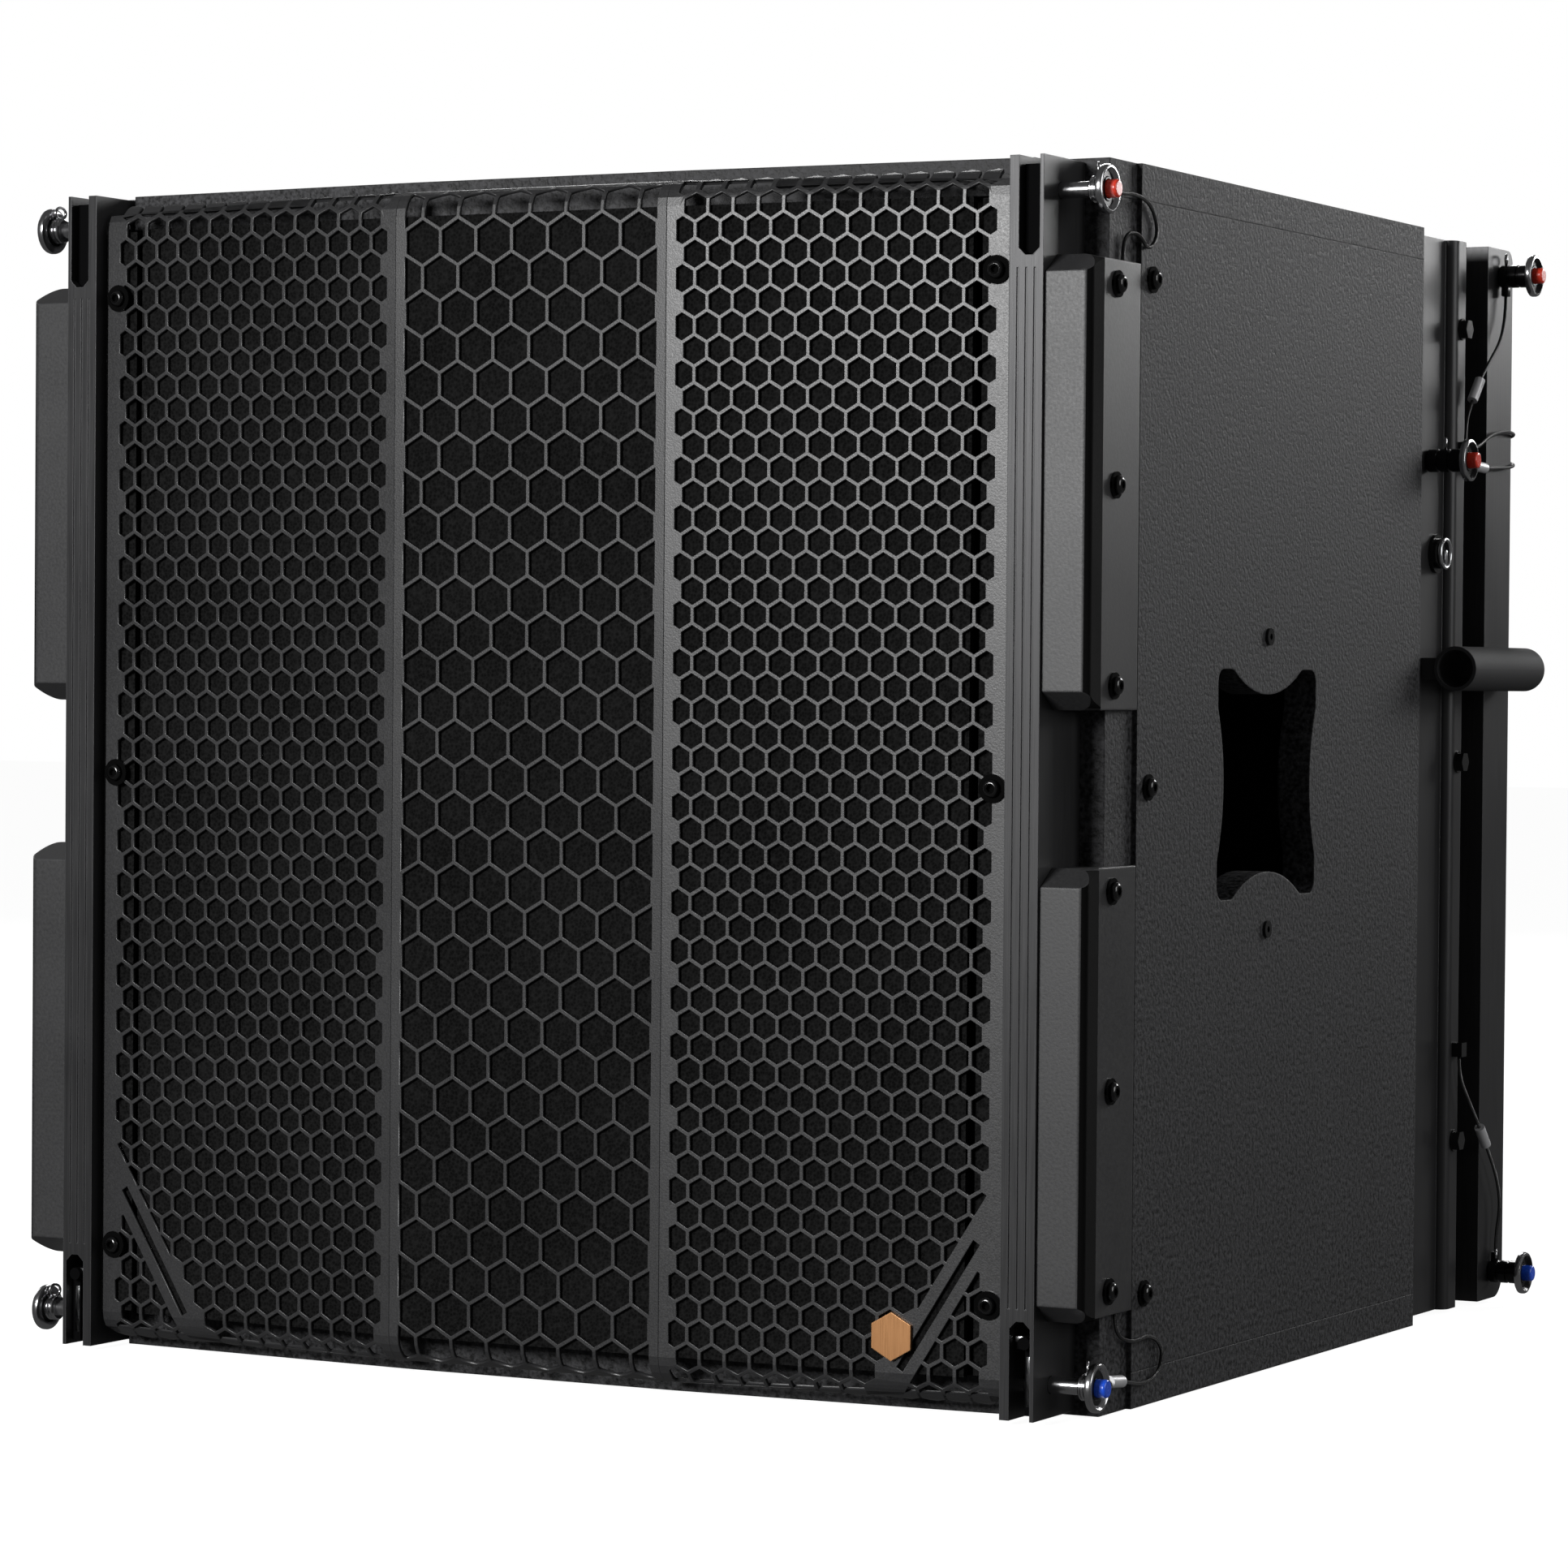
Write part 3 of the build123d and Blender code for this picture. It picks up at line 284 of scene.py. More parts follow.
# Bright zinc-plated and rolled steel: pale metal with faint rolling lines.
BRIGHT_STEEL = Finish("bright_plated_steel", "b9babc", "dcdddf", 0.24, Grain.TURNED, 0.5, 0.02,
                      metallic=1.0, edge_mm=0.3)
# Pressed aluminium crimp sleeves: pale dull metal, bright from every side.
CRIMP_ALUMINIUM = Finish("crimped_aluminium", "c4c4c6", "e0e0e2", 0.4, Grain.TURNED, 1.0, 0.03,
                         metallic=0.35)
# Black zinc screws: small glossy heads with a point of light.
BLACK_SCREW = Finish("black_zinc_screw", "050505", "0c0c0d", 0.18, Grain.POWDER, 0.7, 0.01,
                     specular=0.8)
# Matt black washers and flats of the screws: blackened, and too rough to shine.
MATT_WASHER = Finish("matt_black_washer", "040404", "080808", 0.8, Grain.POWDER, 0.8, 0.01,
                     specular=0.05)
# Powder-coated tube: even satin black.
TUBE_SATIN = Finish("satin_black_tube", "363637", "3e3e3f", 0.7, Grain.POWDER, 1.0, 0.03,
                    specular=0.25, edge_mm=0.5, wear="5a5a5c", wear_amount=0.6)
# Black-chromed pin body: dark glossy metal, turned rings faintly seen.
PIN_BLACK = Finish("black_chromed_pin", "0e0e0f", "1c1c1e", 0.2, Grain.TURNED, 0.5, 0.01, metallic=0.5)
# Polished stainless shaft and flange rim: bright, with fine turning marks.
PIN_POLISHED = Finish("polished_stainless", "a8a8aa", "d2d2d4", 0.2, Grain.TURNED, 0.4, 0.01,
                      metallic=1.0)
# Injection-moulded gloss buttons.
RED_BUTTON = Finish("gloss_red_moulding", "ea3420", "fa4c36", 0.25, Grain.MOULDED, 1.2, 0.01,
                    coat=0.6)
BLUE_BUTTON = Finish("gloss_blue_moulding", "164ae0", "2f6cf8", 0.25, Grain.MOULDED, 1.2, 0.01,
                     coat=0.6)
# Moulded ABS cup: matt spark-eroded skin, almost black.
CUP_ABS = Finish("moulded_abs_cup", "020202", "060606", 0.75, Grain.MOULDED, 1.1, 0.08, specular=0.15)
# Brushed copper badge.
COPPER = Finish("brushed_copper", "c98f5c", "dda472", 0.34, Grain.DRAWN, 0.35, 0.01, metallic=0.8,
                edge_mm=0.5, wear="f0c89c", wear_amount=0.5, contrast=0.7)
# Die-cast and painted driver basket.
CAST_BASKET = Finish("painted_die_casting", "1a1a1a", "262626", 0.5, Grain.POWDER, 1.5, 0.1)
# Ferrite ring, black and slightly glassy.
FERRITE = Finish("sintered_ferrite", "1b1b1d", "2a2a2c", 0.4, Grain.POWDER, 1.2, 0.05)
# Pulp cone: pressed paper fibre.
PULP_CONE = Finish("pressed_paper_pulp", "101010", "1c1b1a", 0.8, Grain.FIBRE, 2.0, 0.2)
# Nitrile surround: smooth dull rubber.
RUBBER = Finish("nitrile_rubber", "0d0d0d", "161616", 0.55, Grain.MOULDED, 2.0, 0.03)
# Powder-coated connector plate.
PLATE_POWDER = Finish("powder_coated_plate", "161617", "222223", 0.5, Grain.ORANGE_PEEL, 1.2, 0.15,
                      edge_mm=0.8, wear="4a4a4c")
# Glass-filled nylon sockets.
NYLON = Finish("glass_filled_nylon", "0c0c0d", "181819", 0.42, Grain.MOULDED, 1.0, 0.05, edge_mm=0.5)
# Black-coated wire rope: twisted strands show as fine slanting lights.
WIRE_ROPE = Finish("coated_wire_rope", "040405", "161617", 0.4, Grain.TWIST, 1.0, 0.25, specular=0.6)

NODE_FINISHES = (
    (CABINET_PAINT, ("bottom_panel", "top_panel", "side_panel_right", "side_panel_left",
                     "rear_panel")),
    (STAINED_PLY, ("baffle",)),
    (GRILLE_POWDER, ("grille",)),
    (POST_ANODISED, ("front_post_right", "front_post_left", "rear_rail_right", "rear_rail_left")),
    (COVER_SATIN, ("cover_lower_right", "cover_upper_right", "cover_lower_left", "cover_upper_left")),
    (FOAM_AND_LEDGE_SHADE, ("grille_foam",)),
    (BLACK_OXIDE, ("front_link_right", "front_link_left", "rear_link_right", "rear_link_left",
                   "link_guides")),
    (CRIMP_ALUMINIUM, ("lanyard_ferrules",)),
    (BLACK_SCREW, ("side_screws", "grille_screws", "handle_screws", "rail_bolts")),
    (TUBE_SATIN, ("guide_tube_right", "guide_tube_left")),
    (CUP_ABS, ("handle_cup_right", "handle_cup_left")),
    (COPPER, ("badge",)),
    (CAST_BASKET, ("driver_basket",)),
    (FERRITE, ("driver_magnet",)),
    (PULP_CONE, ("driver_cone",)),
    (RUBBER, ("driver_surround",)),
    (PLATE_POWDER, ("connector_plate",)),
    (NYLON, ("connector_sockets",)),
)


def dress(obj: Object, finish: Finish) -> None:
    """Gives a piece one finish all over.

    Args:
        obj: a mesh object.
        finish: its finish.
    """
    obj.data.materials.clear()
    obj.data.materials.append(finish.build())


def deselect() -> None:
    """Leaves edit mode and deselects everything."""
    if bpy.context.object and bpy.context.object.mode != "OBJECT":
        bpy.ops.object.mode_set(mode="OBJECT")
    bpy.ops.object.select_all(action="DESELECT")


def activate(obj: Object) -> None:
    """Makes one object the only selected and active one.

    Args:
        obj: the object to work on next.
    """
    deselect()
    obj.select_set(True)
    bpy.context.view_layer.objects.active = obj


def settle(obj: Object) -> None:
    """Moves an object's place into its mesh."""
    activate(obj)
    bpy.ops.object.transform_apply(location=True, rotation=True, scale=True)


# ---- camera, floor and light ----

@dataclass
class Studio:
    """Camera, pale floor and soft lights."""

    focal_mm: float = 118.77
    azimuth: float = 27.76
    pitch: float = -1.14
    roll: float = 0.46
    sensor_mm: float = 36.0
    eye: Point = (1.3296, -2.5557, 0.357)
    floor_side: float = 30.0
    floor_drop: float = 0.0005
    floor_colour: str = "909090"
    floor_glow: float = 0.95
    room_fill: float = 0.08

    def camera(self) -> None:
        """Places the camera at its height and angle, in front and to the right."""
        theta, phi, rho = (math.radians(v) for v in (self.azimuth, self.pitch, self.roll))
        ahead = Vector((-math.sin(theta) * math.cos(phi), math.cos(theta) * math.cos(phi),
                        math.sin(phi)))
        across = Vector((math.cos(theta), math.sin(theta), 0.0))
        up = across.cross(ahead)
        across, up = (math.cos(rho) * across + math.sin(rho) * up,
                      -math.sin(rho) * across + math.cos(rho) * up)
        turn = Matrix((across, up, -ahead)).transposed().to_4x4()
        data = bpy.data.cameras.new("studio_camera")
        data.sensor_width = self.sensor_mm
        data.lens = self.focal_mm
        camera = bpy.data.objects.new("studio_camera", data)
        bpy.context.scene.collection.objects.link(camera)
        camera.matrix_world = Matrix.Translation(self.eye) @ turn
        bpy.context.scene.camera = camera

    def floor(self) -> None:
        """Lays the pale floor."""
        deselect()
        bpy.ops.mesh.primitive_plane_add(size=self.floor_side, location=(0, 0, -self.floor_drop))
        floor = bpy.context.object
        floor.name = "studio_floor"
        material = bpy.data.materials.new("matt_white_floor")
        material.use_nodes = True
        shader = material.node_tree.nodes["Principled BSDF"]
        shader.inputs["Base Color"].default_value = linear(self.floor_colour)
        shader.inputs["Roughness"].default_value = 1.0
        shader.inputs["Specular IOR Level"].default_value = 0.0
        shader.inputs["Emission Color"].default_value = (1, 1, 1, 1)
        shader.inputs["Emission Strength"].default_value = self.floor_glow
        floor.data.materials.append(material)
        floor.visible_glossy = False
        floor.visible_diffuse = False

    def lamp(self, name: str, place: Point, aim: Point, side: float, watts: float) -> None:
        """Hangs one soft square light.

        Args:
            name: the light's name.
            place: where it hangs.
            aim: the point it faces.
            side: its side in metres.
            watts: its power.
        """
        data = bpy.data.lights.new(name, "AREA")
        data.shape = "SQUARE"
        data.size = side
        data.energy = watts
        lamp = bpy.data.objects.new(name, data)
        bpy.context.scene.collection.objects.link(lamp)
        lamp.location = place
        lamp.rotation_euler = (Vector(aim) - Vector(place)).to_track_quat("-Z", "Y").to_euler()

    def lights(self) -> None:
        """Hangs a key in front, a strip behind on the right for the side's sheen, and soft fills."""
        middle = (0.0, 0.0, 0.3)
        self.lamp("key_light", (-0.6, -3.2, 1.2), (0.2, 0.0, 0.35), 1.0, 88.0)
        self.lamp("side_strip", (1.22, 2.85, 1.3), (0.3, 0.1, 0.45), 0.9, 24.0)
        self.lamp("right_fill", (3.4, 0.3, 1.3), middle, 1.8, 30.0)
        self.lamp("back_light", (-1.6, 3.2, 2.2), middle, 1.6, 60.0)
        self.lamp("left_fill", (-3.2, 0.6, 1.6), middle, 1.6, 20.0)

    def world(self) -> None:
        """Pale room behind the object, with dim light of its own."""
        world = bpy.data.worlds.new("studio_room")
        bpy.context.scene.world = world
        world.use_nodes = True
        tree = world.node_tree
        tree.nodes.clear()
        seen = add_node(tree, "Background", {"Color": (1, 1, 1, 1), "Strength": 1.0})
        fill = add_node(tree, "Background",
                        {"Color": (1, 1, 1, 1), "Strength": self.room_fill})
        ray = add_node(tree, "LightPath")
        mix = add_node(tree, "MixShader", None,
                       {0: ray.outputs["Is Camera Ray"], 1: fill.outputs[0], 2: seen.outputs[0]})
        add_node(tree, "OutputWorld", None, {"Surface": mix.outputs[0]})
        bpy.context.scene.view_settings.view_transform = "Standard"

    def build(self) -> None:
        """Sets the studio up."""
        self.camera()
        self.floor()
        self.lights()
        self.world()
        LOG.info("studio: camera, floor and lights")


# ---- lanyards ----

@dataclass
class Lanyard:
    """A wire rope from a quick-release pin to the cabinet, on one smooth line."""

    name: str
    pin: str
    length: float
    route: tuple[Point, ...]
    root_side: Point
    pin_side: Point
    diameter: float = 0.002
    sides: int = 10
    strands: int = 6
    lay_length: float = 0.006
    line_steps: int = 12

    def line(self) -> list[Vector]:
        """Reads the points of the smooth line through the route's control points.

        Returns:
            Points in order from the pin to the cabinet.
        """
        data = bpy.data.curves.new(self.name + "_route", "CURVE")
        data.dimensions = "3D"
        data.resolution_u = self.line_steps
        spline = data.splines.new("NURBS")
        spline.points.add(len(self.route) - 1)
        for point, place in zip(spline.points, self.route):
            point.co = (*place, 1.0)
        spline.order_u = 3
        spline.use_endpoint_u = True
        obj = bpy.data.objects.new(self.name + "_route", data)
        mesh = bpy.data.meshes.new_from_object(obj)
        points = [v.co.copy() for v in mesh.vertices]
        bpy.data.meshes.remove(mesh)
        bpy.data.objects.remove(obj)
        return points

    def tube(self, points: list[Vector]) -> Object:
        """Wraps a round tube, with its own UV map, round the line.

        Args:
            points: the line's points.

        Returns:
            The tube object.
        """
        verts, faces, run = [], [], [0.0]
        for here, ahead in zip(points, points[1:]):
            run.append(run[-1] + (ahead - here).length)
        side = (points[1] - points[0]).orthogonal().normalized()
        for n, point in enumerate(points):
            along = (points[min(n + 1, len(points) - 1)] - points[max(n - 1, 0)]).normalized()
            side = (side - along * side.dot(along)).normalized()
            other = along.cross(side)
            for k in range(self.sides):
                turn = 2 * math.pi * k / self.sides
                out = side * math.cos(turn) + other * math.sin(turn)
                verts.append(point + out * self.diameter / 2)
        for n in range(len(points) - 1):
            for k in range(self.sides):
                a, b = n * self.sides + k, n * self.sides + (k + 1) % self.sides
                faces.append((a, b, b + self.sides, a + self.sides))
        faces.append(tuple(reversed(range(self.sides))))
        faces.append(tuple(range((len(points) - 1) * self.sides, len(points) * self.sides)))
        name = self.name.replace("lanyard", "rope")
        mesh = bpy.data.meshes.new(name)
        mesh.from_pydata([tuple(v) for v in verts], [], faces)
        layer = mesh.uv_layers.new(name="strands")
        for face in mesh.polygons[:-2]:
            n, k = divmod(face.index, self.sides)
            corners = ((n, k), (n, k + 1), (n + 1, k + 1), (n + 1, k))
            for loop, (row, column) in zip(face.loop_indices, corners):
                layer.data[loop].uv = (run[row] / self.lay_length * self.strands,
                                       column / self.sides * self.strands)
            face.use_smooth = True
        obj = bpy.data.objects.new(name, mesh)
        bpy.context.scene.collection.objects.link(obj)
        return obj

    def build(self) -> None:
        points = self.line()
        piece = self.tube(points)
        dress(piece, WIRE_ROPE)
        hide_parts(self.name)
        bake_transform(piece)
        LOG.info("%s: wire rope, %.0f mm", self.name, self.length / MM)


LANYARDS = (
    Lanyard("lanyard_front_top", "pin_front_top_right", 0.1215,
            ((0.3035, -0.276, 0.594), (0.3035, -0.2635, 0.594), (0.3024, -0.2425, 0.596),
             (0.3018, -0.2205, 0.593), (0.3016, -0.2105, 0.579), (0.3016, -0.2225, 0.569),
             (0.302, -0.2355, 0.5775), (0.29875, -0.2475, 0.576), (0.29875, -0.2475, 0.563)),
            root_side=(0.2988, -0.2475, 0.566), pin_side=(0.3035, -0.262, 0.594)),
    Lanyard("lanyard_front_bottom", "pin_front_bottom_right", 0.1528,
            ((0.3035, -0.276, 0.018), (0.3035, -0.2645, 0.018), (0.3034, -0.2445, 0.016),
             (0.303, -0.2215, 0.0115), (0.3022, -0.1995, 0.014), (0.3018, -0.1925, 0.027),
             (0.3016, -0.2095, 0.0355), (0.302, -0.2315, 0.033), (0.29875, -0.2455, 0.0385),
             (0.29875, -0.2455, 0.049)),
            root_side=(0.2988, -0.2455, 0.046), pin_side=(0.3035, -0.262, 0.018)),
    Lanyard("lanyard_rear_top", "pin_rear_top_right", 0.1100,
            ((0.3014, 0.289, 0.5825), (0.3014, 0.289, 0.5725), (0.3025, 0.2785, 0.5565),
             (0.303, 0.2615, 0.545), (0.3025, 0.2455, 0.533), (0.301, 0.2355, 0.519),
             (0.299, 0.2315, 0.507), (0.299, 0.2315, 0.496)),
            root_side=(0.299, 0.2315, 0.500), pin_side=(0.3014, 0.289, 0.578)),
    Lanyard("lanyard_rear_bottom", "pin_rear_bottom_right", 0.1381,
            ((0.3014, 0.289, 0.0295), (0.3014, 0.289, 0.0395), (0.3025, 0.2935, 0.056),
             (0.303, 0.2845, 0.074), (0.303, 0.2695, 0.090), (0.3025, 0.2535, 0.107),
             (0.301, 0.2415, 0.121), (0.299, 0.2315, 0.135), (0.299, 0.2315, 0.146)),
            root_side=(0.299, 0.2315, 0.142), pin_side=(0.3014, 0.289, 0.034)),
    Lanyard("lanyard_spare", "pin_spare", 0.2170,
            ((0.3004, 0.207, 0.484), (0.3004, 0.2185, 0.484), (0.3012, 0.2375, 0.483),
             (0.3016, 0.2595, 0.482), (0.301, 0.2825, 0.4835), (0.3008, 0.2985, 0.484),
             (0.2998, 0.3135, 0.4865), (0.2875, 0.3155, 0.4895), (0.2875, 0.3155, 0.5005),
             (0.2998, 0.3135, 0.5035), (0.3008, 0.2985, 0.505), (0.3014, 0.2825, 0.504),
             (0.3012, 0.2655, 0.501), (0.3004, 0.2515, 0.495), (0.299, 0.2425, 0.492),
             (0.299, 0.2355, 0.492)),
            root_side=(0.299, 0.2355, 0.492), pin_side=(0.299, 0.2350, 0.4825)),
)


# ---- grille ----

def clip(points: list[Flat], normal: Flat, offset: float) -> list[Flat]:
    """Cuts a convex outline at a line.

    Args:
        points: the outline.
        normal: the line's normal.
        offset: the part with normal.p up to this stays.

    Returns:
        The outline that is left, empty if none is.
    """
    kept = []
    for n, here in enumerate(points):
        ahead = points[(n + 1) % len(points)]
        d_here = normal[0] * here[0] + normal[1] * here[1] - offset
        d_ahead = normal[0] * ahead[0] + normal[1] * ahead[1] - offset
        if d_here <= 0:
            kept.append(here)
        if d_here * d_ahead < 0:
            share = d_here / (d_here - d_ahead)
            kept.append((here[0] + share * (ahead[0] - here[0]),
                         here[1] + share * (ahead[1] - here[1])))
    return kept


def area(points: list[Flat]) -> float:
    """Area of an outline."""
    pairs = zip(points, points[1:] + points[:1])
    return abs(sum(a[0] * b[1] - b[0] * a[1] for a, b in pairs)) / 2


@dataclass
class Facet:
    """One flat field of the folded grille, in millimetres along and up the sheet."""

    left: float
    right: float
    hole_left: float
    hole_right: float
    pitch: float
    web: float
    lip: tuple[float, float]
    slot: bool = False


@dataclass
class Grille:
    """Punched and folded honeycomb sheet: a middle field and two wings, lips at top and bottom."""

    low: float = 6.0
    high: float = 606.0
    thickness: float = 2.0
    front: float = -309.5
    bend_x: float = 79.0
    wing_width: float = 185.0
    wing_angle: float = 3.0
    lip_radius: float = 14.0
    lip_run: float = 9.5
    outer_lip_run: float = 0.5
    middle_pitch: float = 21.0
    wing_pitch: float = 13.75
    web: float = 2.0
    bar: float = 5.5
    margin: float = 8.0
    end_margin: float = 2.0
    edge: float = 0.25
    slot_inset: float = 14.0
    slot_top: float = 86.0
    slot_run: float = 40.0
    slot_foot: float = 2.0
    slot_width: float = 4.0
    slot_strip: float = 6.0
    arc_steps: int = 5
    least_hole: float = 0.2

    def reach(self) -> float:
        """Length of the sheet's flat part, from the middle to where a lip starts to turn."""
        return (self.high - self.low) / 2 - self.lip_radius

    def slot_line(self) -> tuple[Flat, Flat]:
        """Places the slanted slot's middle line.

        Returns:
            Its upper and lower end, as distance from the bend and from mid height.
        """
        outer = self.wing_width - self.slot_inset
        middle = (self.low + self.high) / 2
        foot = self.low + self.lip_radius + self.slot_foot
        return (outer, self.slot_top - middle), (outer - self.slot_run, foot - middle)

    def slot_normal(self) -> tuple[Flat, float]:
        """Works out which way the slot faces.

        Returns:
            The normal of the slot's line, pointing to the bottom outer corner, and its offset.
        """
        (u0, s0), (u1, s1) = self.slot_line()
        length = math.hypot(u1 - u0, s1 - s0)
        normal = ((s0 - s1) / length, -(u0 - u1) / length)
        return normal, normal[0] * u0 + normal[1] * s0

    def hexagon(self, u: float, s: float, flats: float) -> list[Flat]:
        """Draws a hexagon with a corner at the top.

        Args:
            u: its middle along the sheet.
            s: its middle up the sheet.
            flats: its width over flats.

        Returns:
            Its six corners.
        """
        corner = flats / math.sqrt(3)
        turns = [math.radians(60 * n) for n in range(6)]
        return [(u + corner * math.sin(turn), s + corner * math.cos(turn)) for turn in turns]

    def holes(self, facet: Facet) -> list[list[Flat]]:
        """Lays the honeycomb's holes, cut off at the plain bars and at the slanted slot.

        Args:
            facet: the field to fill.

        Returns:
            Outlines of the holes.
        """
        row_step = facet.pitch * math.sqrt(3) / 2
        turned = self.lip_radius * math.pi / 2
        ends = self.reach() + turned - self.end_margin
        rows = 2 * int(ends / row_step) + 1
        across = int((facet.hole_right - facet.hole_left) / facet.pitch) + 2
        flats = facet.pitch - facet.web
        whole = area(self.hexagon(0, 0, flats))
        first = (facet.hole_left + facet.hole_right - across * facet.pitch) / 2
        normal, offset = self.slot_normal()
        band = self.slot_width / 2 + self.slot_strip
        found = []
        for row in range(rows):
            s = (row - (rows - 1) / 2) * row_step
            start = first + (row % 2) * facet.pitch / 2
            for column in range(across + 1):
                hole = self.hexagon(start + column * facet.pitch, s, flats)
                hole = clip(hole, (1, 0), facet.hole_right)
                hole = clip(hole, (-1, 0), -facet.hole_left)
                hole = clip(hole, (0, 1), ends)
                hole = clip(hole, (0, -1), ends)
                kinds = [hole]
                if facet.slot:
                    kinds = [clip(hole, normal, offset - band),
                             clip(hole, (-normal[0], -normal[1]), -offset - band)]
                found += [h for h in kinds if len(h) > 2 and area(h) > self.least_hole * whole]
        if facet.slot:
            (u0, s0), (u1, s1) = self.slot_line()
            du, ds = (part * self.slot_width / 2 for part in normal)
            found.append([(u0 + du, s0 + ds), (u1 + du, s1 + ds),
                          (u1 - du, s1 - ds), (u0 - du, s0 - ds)])
        return found

    def sheet(self, name: str, facet: Facet) -> Object:
        """Cuts one field flat, as a thick plate with softened edges.

        Args:
            name: the new object's name.
            facet: the field.

        Returns:
            The mesh object, flat, with its outer face at z = 0 and its thickness below.
        """
        ends = self.reach() + self.lip_radius * (math.pi / 2 - 1)
        corners = [(facet.left, -ends - facet.lip[0]), (facet.right, -ends - facet.lip[1]),
                   (facet.right, ends + facet.lip[1]), (facet.left, ends + facet.lip[0])]
        data = bpy.data.curves.new(name, "CURVE")
        data.dimensions = "2D"
        data.fill_mode = "BOTH"
        data.extrude = (self.thickness / 2 - self.edge) * MM
        data.bevel_depth = self.edge * MM
        data.bevel_resolution = 0
        data.offset = -self.edge * MM
        for outline in [corners] + self.holes(facet):
            spline = data.splines.new("POLY")
            spline.points.add(len(outline) - 1)
            for point, (u, s) in zip(spline.points, outline):
                point.co = (u * MM, s * MM, 0.0, 1.0)
            spline.use_cyclic_u = True
        obj = bpy.data.objects.new(name, data)
        bpy.context.scene.collection.objects.link(obj)
        activate(obj)
        bpy.ops.object.convert(target="MESH")
        obj = bpy.context.object
        bpy.ops.object.mode_set(mode="EDIT")
        step = self.lip_radius * math.pi / 2 / self.arc_steps
        for side in (-1, 1):
            for n in range(self.arc_steps + 1):
                bpy.ops.mesh.select_all(action="SELECT")
                cut = side * (self.reach() + n * step) * MM
                bpy.ops.mesh.bisect(plane_co=(0, cut, 0), plane_no=(0, 1, 0))
        bpy.ops.mesh.select_all(action="SELECT")
        bpy.ops.mesh.remove_doubles(threshold=WELD)
        bpy.ops.object.mode_set(mode="OBJECT")
        return obj

    def fold(self, obj: Object, turn: float) -> None:
        """Rolls the lips back and stands the field up in its place.

        Args:
            obj: the flat field.
            turn: -1 for the left wing, 0 for the middle and 1 for the right wing.
        """
        reach, radius = self.reach() * MM, self.lip_radius * MM
        slope = math.radians(self.wing_angle)
        middle = (self.low + self.high) / 2 * MM
        for vertex in obj.data.vertices:
            u, s, depth = vertex.co.x, vertex.co.y, self.thickness / 2 * MM - vertex.co.z
            past = abs(s) - reach
            height, back = abs(s), depth
            if past > radius * math.pi / 2:
                height, back = reach + radius - depth, radius + past - radius * math.pi / 2
            elif past > 0:
                angle = past / radius
                height = reach + (radius - depth) * math.sin(angle)
                back = radius - (radius - depth) * math.cos(angle)
            x, y = u, back
            if turn:
                x = self.bend_x * MM + u * math.cos(slope) - back * math.sin(slope)
                y = u * math.sin(slope) + back * math.cos(slope)
            vertex.co = (x * (turn or 1), self.front * MM + y, middle + math.copysign(height, s))
        if turn < 0:
            obj.data.flip_normals()

    def build(self) -> None:
        """Makes the three fields, joins them and hangs them on the cabinet."""
        inner = self.bend_x - self.bar
        middle = Facet(-self.bend_x, self.bend_x, -inner, inner, self.middle_pitch, self.web,
                       (self.lip_run, self.lip_run))
        wing = Facet(0.0, self.wing_width, self.bar, self.wing_width - self.margin, self.wing_pitch,
                     self.web, (self.lip_run, self.outer_lip_run), slot=True)
        fields = []
        for name, facet, turn in (("grille_middle", middle, 0), ("grille_right", wing, 1),
                                  ("grille_left", wing, -1)):
            fields.append(self.sheet(name, facet))
            self.fold(fields[-1], turn)
        grille = joined("grille_honeycomb", fields)
        dress(grille, GRILLE_POWDER)
        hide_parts("grille")
        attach(grille, "cabinet")
        LOG.info("grille: %d faces", len(grille.data.polygons))


# ---- small parts ----

def turned_piece(name: str, steps: list[Flat], sides: int = 32) -> Object:
    """Turns a closed round piece about the X axis, by extruding and resizing one disc.

    Args:
        name: the new object's name.
        steps: distance along X and radius of each step, in millimetres.
        sides: number of sides.

    Returns:
        The piece, centred on the X axis.
    """
    deselect()
    x, radius = steps[0]
    bpy.ops.mesh.primitive_circle_add(vertices=sides, radius=radius * MM, fill_type="NGON",
                                      location=(x * MM, 0, 0), rotation=(0, math.pi / 2, 0))
    piece = bpy.context.object
    piece.name = name
    settle(piece)
    bpy.ops.object.mode_set(mode="EDIT")
    bpy.ops.mesh.select_all(action="SELECT")
    for ahead, wide in steps[1:]:
        bpy.ops.mesh.extrude_region_move(TRANSFORM_OT_translate={"value": ((ahead - x) * MM, 0, 0)})
        if wide != radius:
            bpy.ops.transform.resize(value=(1, wide / radius, wide / radius),
                                     center_override=(ahead * MM, 0, 0))
        x, radius = ahead, wide
    bpy.ops.mesh.select_all(action="SELECT")
    bpy.ops.mesh.normals_make_consistent(inside=False)
    bpy.ops.object.mode_set(mode="OBJECT")
    bpy.ops.object.shade_smooth_by_angle(angle=SMOOTH_ANGLE)
    return piece


